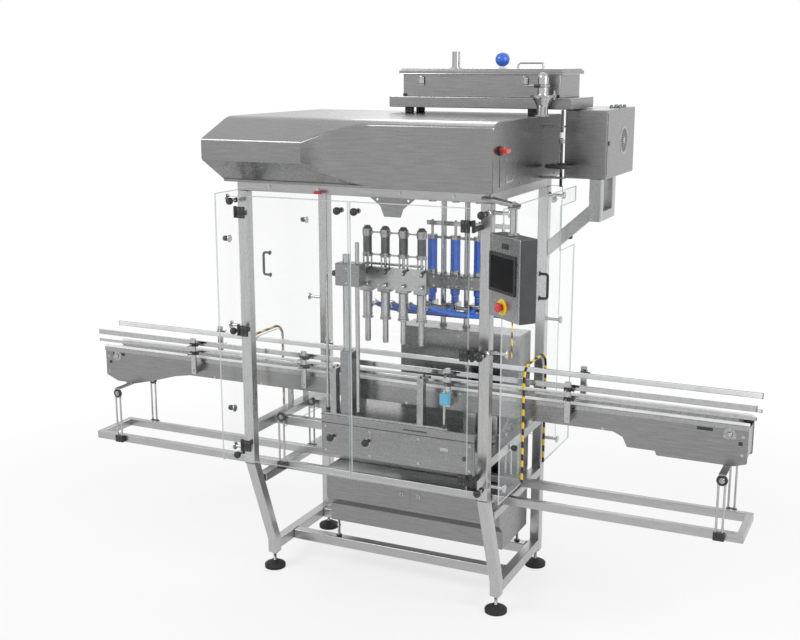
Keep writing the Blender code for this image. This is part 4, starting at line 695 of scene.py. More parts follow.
class NodeTree:
    """A geometry tree with named inputs, whose result ends as a plain mesh."""

    def __init__(self, name: str) -> None:
        """Start a tree with its group input and output."""
        self.group = bpy.data.node_groups.new(name, "GeometryNodeTree")
        self.group.interface.new_socket("Geometry", in_out="INPUT",
                                        socket_type="NodeSocketGeometry")
        self.group.interface.new_socket("Geometry", in_out="OUTPUT",
                                        socket_type="NodeSocketGeometry")
        self.keys: dict[str, str] = {}
        self.start = self.group.nodes.new("NodeGroupInput")
        self.end = self.group.nodes.new("NodeGroupOutput")

    def size(self, name: str, kind: str = "NodeSocketFloat") -> bpy.types.NodeSocket:
        """Add a named input and return its socket inside the tree."""
        made = self.group.interface.new_socket(name, in_out="INPUT", socket_type=kind)
        self.keys[name] = made.identifier
        return self.start.outputs[name]

    def node(self, kind: str, settings: dict | None = None, inputs: dict | None = None) -> Any:
        """Add a node with its settings and with values or links on its inputs."""
        made = self.group.nodes.new(kind)
        for key, value in (settings or {}).items():
            setattr(made, key, value)
        for key, value in (inputs or {}).items():
            if isinstance(value, bpy.types.NodeSocket):
                self.group.links.new(value, made.inputs[key])
            else:
                made.inputs[key].default_value = value
        return made

    def vector(self, name: str) -> bpy.types.NodeSocket:
        """Named vector attribute of the points."""
        return self.node("GeometryNodeInputNamedAttribute", {"data_type": "FLOAT_VECTOR"},
                         {"Name": name}).outputs[0]

    def aim(self, axis: str, way: bpy.types.NodeSocket, **more: Any) -> bpy.types.NodeSocket:
        """Rotation that turns an axis towards a vector."""
        settings = {"axis": axis, "pivot_axis": "Z"} if more else {"axis": axis}
        return self.node("FunctionNodeAlignRotationToVector", settings,
                         {"Vector": way, **more}).outputs[0]

    def flat(self, kind: str, settings: dict | None, sizes: dict) -> bpy.types.NodeSocket:
        """Primitive solid with flat shading."""
        solid = self.node(kind, settings, sizes)
        return self.node("GeometryNodeSetShadeSmooth", None,
                         {"Geometry": solid.outputs[0], "Shade Smooth": False}).outputs[0]

    def close(self, solid: bpy.types.NodeSocket, turn: bpy.types.NodeSocket) -> None:
        """Set a turned solid on every point, realize it, set the material and end the tree."""
        spread = self.node("GeometryNodeInstanceOnPoints", None, {
            "Points": self.start.outputs["Geometry"], "Instance": solid, "Rotation": turn})
        real = self.node("GeometryNodeRealizeInstances", None, {"Geometry": spread.outputs[0]})
        dressed = self.node("GeometryNodeSetMaterial", None, {
            "Geometry": real.outputs[0], "Material": self.size("Material", "NodeSocketMaterial")})
        self.group.links.new(dressed.outputs[0], self.end.inputs[0])

    def grow(self, name: str, base: bpy.types.Mesh, sizes: dict[str, Any]) -> bpy.types.Object:
        """Run the tree on a base mesh.

        Args:
            name: the new object's name.
            base: the mesh that the tree starts from.
            sizes: values of the named inputs.

        Returns:
            An object that holds the plain result.
        """
        made = linked(name, base)
        nodes = made.modifiers.new("repeat", "NODES")
        nodes.node_group = self.group
        for key, value in sizes.items():
            nodes[self.keys[key]] = value
        made.data = evaluated(made)
        made.modifiers.clear()
        made.data.name = name
        return made


def loose_points(name: str, places: Sequence[Sequence[Point]], *keys: str) -> bpy.types.Mesh:
    """Mesh of the places' points, with their further vectors in named attributes."""
    base = bpy.data.meshes.new(name)
    base.from_pydata([tuple(place[0]) for place in places], [], [])
    for column, key in enumerate(keys, 1):
        layer = base.attributes.new(key, "FLOAT_VECTOR", "POINT")
        for i, place in enumerate(places):
            layer.data[i].vector = place[column]
    return base


class Heads:
    """Screw heads with their washers, set on points that each have a direction."""

    def __init__(self) -> None:
        """Build the tree."""
        tree = self.tree = NodeTree("screw_heads")
        radius, height = tree.size("Radius"), tree.size("Height")
        washer, sides = tree.size("Washer Radius"), tree.size("Sides", "NodeSocketInt")
        both = tree.node("GeometryNodeJoinGeometry")
        for count, reach, depth in ((sides, radius, height), (20, washer, 0.0016)):
            solid = tree.flat("GeometryNodeMeshCylinder", {"fill_type": "NGON"},
                              {"Vertices": count, "Radius": reach, "Depth": depth})
            tree.group.links.new(solid, both.inputs[0])
        tree.close(both.outputs[0], tree.aim("Z", tree.vector("facing")))

    def set(self, name: str, body: str, places: Sequence[tuple[Point, Point]], finish: Finish,
            radius: float = 0.005, height: float = 0.007, sides: int = 6) -> bpy.types.Object:
        """Put heads on places.

        Args:
            name: the piece's name.
            body: the body it rides on.
            places: (point, direction) of each head.
            finish: the heads' finish.
            radius: a head's radius.
            height: its height, half of it under the point.
            sides: 6 for a hexagon head, more for a round one.

        Returns:
            The piece.
        """
        made = self.tree.grow(name, loose_points(name, places, "facing"), {
            "Radius": radius, "Height": height, "Washer Radius": radius * 1.5, "Sides": sides,
            "Material": finish.material()})
        return settle(made, body, (), finish.slot)


class Bars:
    """Equal flat bars set across a straight or closed run of points."""

    def __init__(self) -> None:
        """Build the tree."""
        tree = self.tree = NodeTree("bars_on_run")
        size = tree.size("Bar Size", "NodeSocketVector")
        cube = tree.flat("GeometryNodeMeshCube", None, {"Size": size})
        up = tree.aim("Z", tree.vector("facing"))
        tree.close(cube, tree.aim("X", tree.vector("along"), Rotation=up))

    def set(self, name: str, body: str, places: Sequence[tuple[Point, Point, Point]],
            size: Point, finish: Finish, nodes: Sequence[str] = ()) -> bpy.types.Object:
        """Put bars on places.

        Args:
            name: the piece's name.
            body: the body it rides on.
            places: (centre, upward direction, running direction) of each bar.
            size: a bar's length along the run, its width across and its thickness.
            finish: the bars' finish.
            nodes: CAD nodes that the bars stand for.

        Returns:
            The piece.
        """
        made = self.tree.grow(name, loose_points(name, places, "facing", "along"),
                              {"Bar Size": size, "Material": finish.material()})
        return settle(made, body, nodes, finish.slot)


# Sub-assemblies

SIDES = (("left", -1), ("right", 1))
POST_X = 0.597
DOOR_Y = -0.552
HINGE_X = 0.578
HINGE_ZS = (0.745, 1.300, 1.848)
REAR_LEVELS = (0.825, 1.858)
BEAM_YS = (-0.075, 0.245)
PLATE_YS = (-0.165, -0.015)
TABLE_Z = 0.8663
GUIDE_XS = (-1.073, -0.430, 0.330, 0.900)
FRONT_RAIL_ZS, REAR_RAIL_ZS = (1.062, 1.106), (1.050, 1.118)
NOZZLE_XS, NOZZLE_Y, INLET_Z = (-0.141, -0.047, 0.047, 0.141), -0.090, 1.372
SHEET_SCREW = (0.0042, 0.004, 16)
HEADS = Heads()
BARS = Bars()


def mirrored(sign: float, *corners: Point) -> list[Point]:
    """Corners given for the right side, mirrored where sign is -1."""
    return [(sign * corner[0], *corner[1:]) for corner in corners]


def thread(radius: float, low: float, high: float,
           pitch: float = 0.0016) -> list[tuple[float, float]]:
    """Profile points of a screw thread between two heights."""
    count = int((high - low) / pitch)
    points = []
    for i in range(count):
        points += [(radius, low + i * pitch), (radius - 0.0007, low + (i + 0.5) * pitch)]
    return points + [(radius, high)]


def star_knob(form: Form, start: Point, axis: Point, radius: float = 0.017) -> None:
    """Add a round black clamping knob on its bright collar."""
    form.turned([(0.0, 0.0), (radius * 0.42, 0.0), (radius * 0.42, 0.007), (0.0, 0.007)],
                start, axis, BRIGHT_STEEL, 20)
    form.turned([(0.0, 0.006), (radius * 0.55, 0.006), (radius * 0.9, 0.010), (radius, 0.016),
                 (radius, 0.024), (radius * 0.86, 0.030), (radius * 0.4, 0.033), (0.0, 0.033)],
                start, axis, BLACK, 24)


@dataclass
class Skeleton:
    """Uprights with their standoffs, base frame, levelling feet and top frame."""

    post_x: float = POST_X
    front_y: float = -0.436
    rear_y: float = 0.325
    half: float = 0.025
    top_z: float = 1.935
    knee_z: float = 0.620
    foot_y: float = -0.250
    door_y: float = DOOR_Y
    guard_face_x: float = 0.6967
    levels: tuple[float, float, float] = (0.688, 1.292, 1.895)
    hinge_zs: tuple[float, ...] = HINGE_ZS

    def standoffs(self, form: Form, sign: int, y: float) -> None:
        """Add the rods with end discs that hold a side guard."""
        start = self.post_x + self.half
        for z in self.levels:
            form.hexagon((sign * (start - 0.0005), y, z), (sign, 0, 0), 0.021, 0.008, BRIGHT_STEEL)
            form.rod((sign * start, y, z), (sign * (self.guard_face_x - 0.006), y, z), 0.008,
                     BRIGHT_STEEL)
            form.rod((sign * (self.guard_face_x - 0.007), y, z), (sign * self.guard_face_x, y, z),
                     0.019, BRIGHT_STEEL, 32, 0.0015)

    def front(self, name: str, sign: int) -> None:
        """Build one front upright with its leaning leg, door stops and hinge halves."""
        form = Form(f"front_post_{name}", "machine", f"front_upright_{name}")
        half, x = self.half, sign * self.post_x
        face, back = self.front_y - half, self.front_y + half
        leg = [(face, self.top_z), (face, self.knee_z), (self.foot_y - half, 0.150),
               (self.foot_y - half, 0.085), (self.foot_y + half, 0.085),
               (self.foot_y + half, 0.154), (back, self.knee_z + 0.012), (back, self.top_z)]
        form.plate([leg], 2 * half, facing_side(x), FRAME_STEEL, 0.004)
        bead = [(x - half, face + 0.004, self.knee_z), (x - half, face - 0.0005, self.knee_z),
                (x + half, face - 0.0005, self.knee_z), (x + half, face + 0.004, self.knee_z)]
        form.pipe(rounded(bead, 0.003), 0.0018, DARK_STEEL, 2)
        form.block((x - half + 0.003, self.foot_y - half + 0.003, 0.0835),
                   (x + half - 0.003, self.foot_y + half - 0.003, 0.087), BLACK, 0.001)
        self.standoffs(form, sign, self.front_y)
        stop_x = sign * (self.post_x + 0.012)
        for z in self.levels:
            form.hexagon((stop_x, face + 0.0005, z), FRONT, 0.021, 0.008, BRIGHT_STEEL)
            form.rod((stop_x, face, z), (stop_x, self.door_y + 0.014, z), 0.008, BRIGHT_STEEL)
            form.rod((stop_x, face - 0.030, z), (stop_x, face - 0.042, z), 0.0115, BLACK)
            form.ball((stop_x, self.door_y + 0.003, z), 0.017, BLACK)
        for z in self.hinge_zs:
            hinge_x = sign * HINGE_X
            form.rod((hinge_x, self.door_y, z - 0.026), (hinge_x, self.door_y, z - 0.0004), 0.008,
                     BLACK)
            form.block(*mirrored(sign, (0.572, self.door_y - 0.002, z - 0.024),
                                 (0.586, face, z - 0.003)), BLACK, 0.002)
        form.piece()

    def rear(self, name: str, sign: int) -> None:
        """Build one rear upright."""
        form = Form(f"rear_post_{name}", "machine", f"rear_upright_{name}")
        half, x = self.half, sign * self.post_x
        form.tube((x - half, self.rear_y - half, 0.085), (x + half, self.rear_y + half, self.top_z),
                  FRAME_STEEL)
        self.standoffs(form, sign, self.rear_y)
        for z in REAR_LEVELS:
            form.rod((x, self.rear_y + half, z), (x, 0.461, z), 0.008, BRIGHT_STEEL)
            form.rod((x, 0.4590, z), (x, 0.4666, z), 0.019, BRIGHT_STEEL, 32, 0.0015)
            form.hexagon((x, self.rear_y + half - 0.0005, z), BACK, 0.021, 0.008, BRIGHT_STEEL)
        form.piece()

    def base(self) -> None:
        """Build the base frame with its weld beads."""
        form = Form("base_beams", "machine", "base_frame")
        half = self.half
        for _, sign in SIDES:
            x = sign * self.post_x
            form.tube((x - half, self.foot_y + half, 0.100), (x + half, self.rear_y - half, 0.150),
                      CROSS_STEEL)
            for y in BEAM_YS:
                for side in (-1, 1):
                    edge = sign * (self.post_x - half)
                    corner = [(edge, y + side * half, 0.105), (edge, y + side * half, 0.145)]
                    form.pipe(corner, 0.0022, DARK_STEEL, 1)
                form.pipe([(edge, y - half + 0.004, 0.1502), (edge, y + half - 0.004, 0.1502)],
                          0.0020, DARK_STEEL, 1)
        for y in BEAM_YS:
            form.tube((half - self.post_x, y - half, 0.100), (self.post_x - half, y + half, 0.150),
                      BEAM_STEEL)
        form.piece()

    def feet(self) -> None:
        """Build the levelling feet: ribbed rubber pad, dome, threaded stem and nut."""
        form = Form("levelling_feet", "machine")
        pad = [(0.0, 0.0), (0.049, 0.0), (0.0525, 0.002), (0.053, 0.006), (0.0505, 0.009),
               (0.053, 0.012), (0.0530, 0.017), (0.049, 0.022), (0.040, 0.0265), (0.024, 0.034),
               (0.019, 0.038), (0.0, 0.038)]
        for _, sign in SIDES:
            for y in (self.foot_y, self.rear_y):
                place = (sign * self.post_x, y, 0.0)
                form.turned(pad, place, UP, RUBBER, 48)
                form.turned([(0.0, 0.036)] + thread(0.008, 0.037, 0.0845) + [(0.0, 0.0845)],
                            place, UP, SATIN_STEEL, 20)
                form.hexagon((place[0], y, 0.0745), UP, 0.025, 0.010, BRIGHT_STEEL)
        form.piece()

    def top(self) -> None:
        """Build the beams under the hood and the sheet bracket over the nozzles."""
        form = Form("top_beams", "machine", "top_frame")
        side, low, high = self.post_x + self.half, 1.9353, 1.9817
        front, rear = self.front_y - self.half, self.rear_y + self.half
        for y in (front, rear - 0.050):
            form.tube((-side, y, low), (side, y + 0.050, high), BEAM_STEEL)
        for _, sign in SIDES:
            form.tube(*mirrored(sign, (side - 0.050, front + 0.048, low),
                                (side, rear - 0.048, high)),
                      CROSS_STEEL)
        for y in (0.195, -0.090):
            form.tube((-side + 0.048, y - 0.030, low), (side - 0.048, y + 0.030, high), BEAM_STEEL)
        sheet = [(-0.150, 1.943), (0.125, 1.943), (0.125, 1.905), (0.045, 1.840), (0.030, 1.800),
                 (-0.055, 1.800), (-0.075, 1.850), (-0.150, 1.905)]
        holes = [ring((x, 1.880), 0.006, 16) for x in (-0.09, 0.07)]
        form.plate([sheet] + holes, 0.004, facing_front(-0.086), SHEET_STEEL)
        form.piece()
        places = [((x, -0.088, 1.925), FRONT) for x in (-0.135, -0.012, 0.110)]
        places += [((sign * x, front - 0.001, 1.958), FRONT) for _, sign in SIDES
                   for x in (0.2, 0.45)]
        HEADS.set("top_frame_screws", "machine", places, BRIGHT_STEEL, 0.006)

    def build(self) -> None:
        """Build every piece of the skeleton."""
        for name, sign in SIDES:
            self.front(name, sign)
            self.rear(name, sign)
        self.base()
        self.feet()
        self.top()


@dataclass
class Hood:
    """Folded hood with the swept nose, its side plate, switch and spindle brackets."""

    half_x: float = 0.650
    rear_y: float = 0.380
    fold_y: float = -0.480
    front_y: float = -0.530
    nose_y: float = -0.700
    roof_z: float = 2.272
    nose_top_z: float = 2.183
    nose_low_z: float = 2.092
    under_z: float = 1.992
    bottom_z: float = 1.982
    nose_right_x: float = -0.150
    sweep_end_x: float = 0.100

    def section(self, cut_y: float, shrink: float = 0.0) -> list[tuple[float, float]]:
        """Rounded (y, z) outline of the hood where its front is cut at a depth."""
        slope = (self.roof_z - self.nose_top_z) / (self.fold_y - self.nose_y)
        rise = (self.nose_low_z - self.under_z) / (self.front_y - self.nose_y)
        top = self.roof_z - (self.fold_y - cut_y) * slope
        low = self.under_z + (self.front_y - cut_y) * rise
        bends = (((self.rear_y, self.bottom_z), 0.003), ((self.rear_y, self.roof_z), 0.006),
                 ((self.fold_y, self.roof_z), 0.030), ((cut_y, top), 0.008), ((cut_y, low), 0.008),
                 ((self.front_y, self.under_z), 0.004), ((self.front_y, self.bottom_z), 0.002))
        points = []
        for i, (corner, radius) in enumerate(bends):
            before = Vector(bends[i - 1][0]) - Vector(corner)
            after = Vector(bends[(i + 1) % len(bends)][0]) - Vector(corner)
            cut = [min(radius, way.length * 0.4) for way in (before, after)]
            if before.length < 1e-6 or after.length < 1e-6:
                cut = [0.0, 0.0]
            first = Vector(corner) + (before.normalized() if before.length else before) * cut[0]
            last = Vector(corner) + (after.normalized() if after.length else after) * cut[1]
            for j in range(5):
                t = j / 4
                points.append(first * (1 - t) ** 2 + Vector(corner) * 2 * t * (1 - t)
                              + last * t * t)
        centre = Vector((-0.08, 2.12))
        inward = []
        for point in points:
            way = centre - point
            inward.append(point + Vector((math.copysign(shrink, way.x),
                                          math.copysign(shrink, way.y))))
        return [tuple(point) for point in inward]

    def shell(self, form: Form) -> None:
        """Add the hood's closed sheet-metal shape."""
        depth, reach = self.front_y - self.nose_y, self.sweep_end_x - self.nose_right_x
        ease = 0.003
        stations = [(-self.half_x, self.nose_y, ease), (-self.half_x + ease, self.nose_y, 0.0)]
        for i in range(25):
            t = i / 24
            cut = self.nose_y + depth * (1 - (1 - t) ** 2) - (1e-4 if i == 24 else 0.0)
            stations.append((self.nose_right_x + reach * t, cut, 0.0))
        stations += [(self.half_x - ease, self.front_y - 1e-4, 0.0),
                     (self.half_x, self.front_y - 1e-4, ease)]
        solid = bmesh.new()
        rings = [[solid.verts.new((x, y, z)) for y, z in self.section(cut, shrink)]
                 for x, cut, shrink in stations]
        count = len(rings[0])
        for lower, upper in zip(rings, rings[1:]):
            for i in range(count):
                j = (i + 1) % count
                solid.faces.new((lower[i], lower[j], upper[j], upper[i]))
        solid.faces.new(rings[0])
        solid.faces.new(rings[-1])
        form.take(solid, HOOD_STEEL)

    def build(self) -> None:
        """Build the hood and its fittings."""
        form = Form("hood_shell", "machine", "hood")
        self.shell(form)
        x = self.half_x
        form.plate([rectangle((-0.450, 2.000), (-0.262, 2.126), 0.008)], 0.0024,
                   facing_side(x + 0.001), SHEET_STEEL)
        form.plate([rectangle((-0.378, 2.012), (-0.290, 2.114), 0.004),
                    rectangle((-0.366, 2.022), (-0.302, 2.104), 0.003)], 0.0034,
                   facing_side(x + 0.0020), BRIGHT_STEEL)
        form.cap((0.021, 0.006, 0.019, 0.008), (x - 0.0005, -0.452, 2.153), RIGHT, BLACK, 32)
        for z, wide in ((1.996, 0.020), (2.226, 0.014)):
            outer = rectangle((x - 0.002, 0.125 - wide), (0.735 + wide, 0.125 + wide), 0.008)
            form.plate([outer, ring((0.735, 0.125), 0.0078)], 0.008, facing_up(z), SATIN_STEEL,
                       0.001)
        # Painted shade: a dark sheet along the hood's underside stands in for the shaded hollow
        # inside the hood.
        form.block((-0.640, -0.526, 1.9815), (0.640, 0.372, 1.9835), DARK_STEEL, 0.0005)
        form.block((-0.203, -0.498, 1.940), (-0.167, -0.482, 1.954), RED, 0.003)
        form.piece(30)
        places = [((x + 0.0015, y, z), RIGHT) for y in (-0.440, -0.272) for z in (2.010, 2.116)]
        places += [((x + 0.0005, y, 2.000), RIGHT) for y in (-0.20, 0.02, 0.30)]
        places += [((sign * px, self.rear_y + 0.001, z), BACK) for _, sign in SIDES
                   for px in (0.60, 0.20) for z in (2.02, 2.23)]
        HEADS.set("hood_screws", "machine", places, BRIGHT_STEEL, *SHEET_SCREW)

        knob = Form("switch_grip", "switch_knob", "main_switch")
        start = (x + 0.0083, -0.452, 2.153)
        knob.cap((0.018, 0.010, 0.0165, 0.012), start, RIGHT, RED, 36)
        knob.plate([rectangle((-0.028, -0.008), (0.028, 0.008), 0.0075, 6)], 0.020,
                   drawn(BACK, UP, (x + 0.030, -0.452, 2.153)), RED, 0.003)
        knob.piece()


@dataclass
class Hopper:
    """Drip tray, open tank, hinged lid with vent pipe and ball, latches and feed valve."""

    left_x: float = -0.068
    right_x: float = 0.713
    front_y: float = 0.152
    rear_y: float = 0.458
    low_z: float = 2.3503
    high_z: float = 2.4533
    wall: float = 0.004
    latch_xs: tuple[float, float] = (0.032, 0.548)

    def tray(self) -> None:
        """Build the tray with its rolled rim and feet."""
        form = Form("drip_tray", "machine", "hopper_tray")
        form.block((-0.130, 0.130, 2.300), (0.775, 0.480, 2.350), SHEET_STEEL, 0.004, 3)
        rim = level_loop((-0.129, 0.131), (0.774, 0.479), 2.3475)
        form.pipe(rounded(rim, 0.012, True), 0.0028, BRIGHT_STEEL, 3, True)
        for x in (-0.050, 0.570):
            for y in (0.190, 0.320):
                form.rod((x, y, 2.2722), (x, y, 2.302), 0.022, BLACK, 28, 0.003)
        form.piece()

    def tank(self) -> None:
        """Build the open tank with its rim flange, corner seams and catches."""
        form = Form("tank_shell", "machine", "hopper_tank")
        outer = rectangle((self.left_x, self.front_y), (self.right_x, self.rear_y), 0.012)
        inner = rectangle((self.left_x + self.wall, self.front_y + self.wall),
                          (self.right_x - self.wall, self.rear_y - self.wall), 0.010)
        tall = self.high_z - self.low_z
        form.plate([outer, inner], tall, facing_up(self.low_z + tall / 2), SHEET_STEEL)
        form.plate([inner], 0.004, facing_up(self.low_z + 0.0022), SHEET_STEEL)
        seam = level_loop((self.left_x, self.front_y), (self.right_x, self.rear_y),
                          self.low_z + 0.004)
        form.pipe(rounded(seam, 0.012, True), 0.0016, SATIN_STEEL, 1, True)
        for x in self.latch_xs:
            form.block((x - 0.012, self.front_y - 0.0058, self.high_z - 0.052),
                       (x + 0.012, self.front_y + 0.001, self.high_z - 0.034), SATIN_STEEL, 0.001)
        for x in (self.left_x + 0.012, self.right_x - 0.012):
            form.block((x - 0.010, self.front_y - 0.004, self.low_z - 0.0002),
                       (x + 0.010, self.front_y + 0.002, self.low_z + 0.014), BLACK, 0.002)
        form.piece()

    def lid(self) -> None:
        """Build the lid with its fold, handle, vent pipe and ball."""
        form = Form("tank_cover", "tank_lid", "hopper_lid")
        low, over = self.high_z + 0.0004, 0.014
        left, right = self.left_x - over, self.right_x + over
        front, rear = self.front_y - over, self.rear_y + over
        form.block((left, front, low), (right, rear, low + 0.018), SHEET_STEEL, 0.003, 3)
        form.block((left + 0.006, front + 0.006, low + 0.012),
                   (right - 0.006, rear - 0.006, low + 0.0262),
                   HOOD_STEEL, 0.008, 4)
        lip = level_loop((left, front), (right, rear), low + 0.002)
        form.pipe(rounded(lip, 0.006, True), 0.0022, BRIGHT_STEEL, 2, True)
        top, middle = low + 0.026, (front + rear) / 2 - 0.020
        form.turned([(0.031, 0.0), (0.031, 0.003), (0.029, 0.005), (0.019, 0.006), (0.019, 0.080),
                     (0.0165, 0.080), (0.0165, 0.004)], (0.150, middle, top - 0.001), UP,
                    BRIGHT_STEEL, 40, True)
        form.turned([(0.0, 0.0), (0.018, 0.0), (0.016, 0.004), (0.011, 0.010), (0.010, 0.018),
                     (0.0, 0.018)],
                    (0.385, middle, top - 0.001), UP, WHITE, 28)
        form.ball((0.385, middle, top + 0.0420), 0.034, BLUE, 48)
        for x in (self.left_x + 0.08, self.right_x - 0.08):
            form.rod((x - 0.03, rear + 0.001, low + 0.006), (x + 0.03, rear + 0.001, low + 0.006),
                     0.005, SATIN_STEEL)
        grip = [(0.50, front + 0.045, top), (0.50, front + 0.045, top + 0.026),
                (0.62, front + 0.045, top + 0.026), (0.62, front + 0.045, top)]
        form.pipe(rounded(grip, 0.012), 0.005, BRIGHT_STEEL, 3)
        form.piece()

    def latches(self) -> None:
        """Build the two draw latches."""
        form = Form("draw_latches", "latches", "lid_latch_left", "lid_latch_right")
        face, low = self.front_y - 0.0063, self.high_z - 0.046
        for x in self.latch_xs:
            form.plate([rectangle((x - 0.012, low), (x + 0.012, low + 0.034), 0.004)], 0.0038,
                       facing_front(face - 0.0020), BRIGHT_STEEL)
            hook = [(x - 0.008, face - 0.005, low + 0.006), (x - 0.008, face - 0.007, low + 0.036),
                    (x + 0.008, face - 0.007, low + 0.036), (x + 0.008, face - 0.005, low + 0.006)]
            form.pipe(rounded(hook, 0.005), 0.0018, BRIGHT_STEEL, 2)
            form.rod((x - 0.013, face - 0.002, low + 0.003), (x + 0.013, face - 0.002, low + 0.003),
                     0.0025, DARK_STEEL, 12)
        form.piece()

    def valve(self) -> None:
        """Build the clamped feed pipe with its small hand lever."""
        form = Form("feed_pipe", "machine", "feed_valve")
        place = (0.655, 0.078, 0.0)
        form.turned([(0.0, 2.2723), (0.034, 2.2723), (0.034, 2.277), (0.032, 2.2785),
                     (0.025, 2.2785), (0.025, 2.312), (0.030, 2.324), (0.038, 2.338),
                     (0.046, 2.352), (0.0470, 2.356), (0.0470, 2.366), (0.026, 2.368),
                     (0.025, 2.372), (0.025, 2.442), (0.021, 2.454), (0.012, 2.462),
                     (0.0, 2.464)], place, UP, BRIGHT_STEEL, 48)
        form.turned([(0.044, 2.3555), (0.056, 2.3565), (0.056, 2.3655), (0.044, 2.3665)], place,
                    UP, SATIN_STEEL, 48, True)
        form.block((0.700, 0.070, 2.3535), (0.716, 0.086, 2.3685), SATIN_STEEL, 0.002)
        form.rod((0.708, 0.078, 2.345), (0.708, 0.078, 2.385), 0.004, BRIGHT_STEEL)
        form.turned([(0.026, 2.398), (0.030, 2.400), (0.030, 2.412), (0.026, 2.414)], place, UP,
                    SATIN_STEEL, 40, True)
        form.rod((0.655, 0.078, 2.406), (0.655, 0.036, 2.406), 0.006, BRIGHT_STEEL)
        form.rod((0.640, 0.036, 2.406), (0.600, 0.036, 2.406), 0.0045, BRIGHT_STEEL)
        form.rod((0.655, 0.036, 2.406), (0.628, 0.036, 2.406), 0.008, BLACK)
        form.piece()

    def wheel(self) -> None:
        """Build the hand wheel with its spokes on the threaded spindle."""
        form = Form("valve_wheel", "hand_valve", "handwheel")
        centre = (0.735, 0.125, 2.040)
        rim = [(0.064 + 0.011 * math.cos(t), 0.009 + 0.009 * math.sin(t))
               for t in (math.tau * i / 14 for i in range(14))]
        form.turned(rim, centre, UP, BLACK, 56, True)
        form.turned([(0.0, -0.001), (0.016, -0.001), (0.016, 0.020), (0.013, 0.023), (0.0, 0.023)],
                    centre, UP, BLACK, 28)
        for i in range(5):
            turn = math.tau * i / 5 + 0.4
            way = Vector((math.cos(turn), math.sin(turn), 0))
            middle = Vector(centre) + Vector((0, 0, 0.009))
            form.rod(middle + way * 0.012, middle + way * 0.060, 0.0055, BLACK, 12)
        form.turned([(0.0, 1.955), (0.0062, 1.955)] + thread(0.007, 1.957, 2.02)
                    + [(0.0064, 2.022), (0.0064, 2.2985), (0.0, 2.2997)], (0.735, 0.125, 0.0),
                    UP, DARK_STEEL, 20)
        form.hexagon((0.735, 0.125, 2.150), UP, 0.023, 0.020, BRIGHT_STEEL)
        form.rod((0.735, 0.125, 2.175), (0.735, 0.125, 2.200), 0.011, WHITE)
        form.piece()

    def build(self) -> None:
        """Build every piece of the hopper."""
        self.tray()
        self.tank()
        self.lid()
        self.latches()
        self.valve()
        self.wheel()


@dataclass
class ControlBox:
    """Electrical box with its door seam, fan grille and cable glands, on a tube bracket."""

    left_x: float = 0.710
    right_x: float = 0.908
    front_y: float = 0.250
    rear_y: float = 0.7605
    low_z: float = 1.982
    high_z: float = 2.296
    fan_y: float = 0.556
    fan_z: float = 2.145

    def build(self) -> None:
        """Build the box, its fan and its bracket."""
        form = Form("electrical_box", "machine", "control_box")
        form.block((self.left_x, self.front_y, self.low_z),
                   (self.right_x, self.rear_y, self.high_z),
                   SHEET_STEEL, 0.005, 3)
        form.plate([rectangle((self.front_y + 0.012, self.low_z + 0.012),
                              (self.rear_y - 0.012, self.high_z - 0.012), 0.006)], 0.003,
                   facing_side(self.right_x), HOOD_STEEL)
        face = (self.right_x - 0.002, self.fan_y, self.fan_z)
        form.turned([(0.056, 0.002), (0.070, 0.002), (0.069, 0.0048), (0.058, 0.0052),
                     (0.0555, 0.004)],
                    face, RIGHT, SATIN_STEEL, 48, True)
        form.turned([(0.0, 0.0), (0.057, 0.0), (0.057, 0.0039), (0.0, 0.0039)], face, RIGHT, BLACK,
                    40)
        form.turned([(0.0, 0.003), (0.017, 0.003), (0.017, 0.0050), (0.0, 0.0052)], face, RIGHT,
                    SATIN_STEEL, 32)
        for i in range(6):
            x = self.right_x - 0.020 - 0.020 * (i % 3)
            y = (self.front_y + self.rear_y) / 2 + (0.03 if i < 3 else 0.12)
            form.hexagon((x, y, self.high_z - 0.0005), UP, 0.017, 0.006, CAST_GREY)
            form.turned([(0.0, 0.005), (0.008, 0.005), (0.0075, 0.012), (0.005, 0.0145),
                         (0.0, 0.0145)],
                        (x, y, self.high_z), UP, CAST_GREY, 20)
        for z in (self.low_z + 0.06, self.high_z - 0.06):
            form.rod((self.right_x - 0.004, self.rear_y - 0.004, z - 0.025),
                     (self.right_x - 0.004, self.rear_y - 0.004, z + 0.025), 0.0038, SATIN_STEEL)
        form.turned([(0.0, 0.0), (0.011, 0.0), (0.011, 0.003), (0.0, 0.003)],
                    (self.right_x + 0.001, self.front_y + 0.035, self.fan_z), RIGHT, BLACK, 28)
        form.piece()
        places = [((self.right_x + 0.0022, self.fan_y, self.fan_z + i * 0.0095), RIGHT, BACK)
                  for i in range(-5, 6)]
        BARS.set("fan_grille", "machine", places, (0.095, 0.0022, 0.0016), SATIN_STEEL)

        form = Form("box_support", "machine", "box_bracket")
        for y in (self.front_y + 0.040, self.front_y + 0.250):
            form.tube((0.822, y, 1.780), (0.880, y + 0.050, self.low_z - 0.0003), FRAME_STEEL)
        form.tube((0.822, 0.334, 1.780), (0.880, 0.506, 1.825), CROSS_STEEL)
        strut = [(0.6223, 1.600), (0.828, 1.785), (0.828, 1.860), (0.6223, 1.675)]
        form.plate([strut], 0.044, facing_front(0.325), BEAM_STEEL, 0.004)
        form.piece()


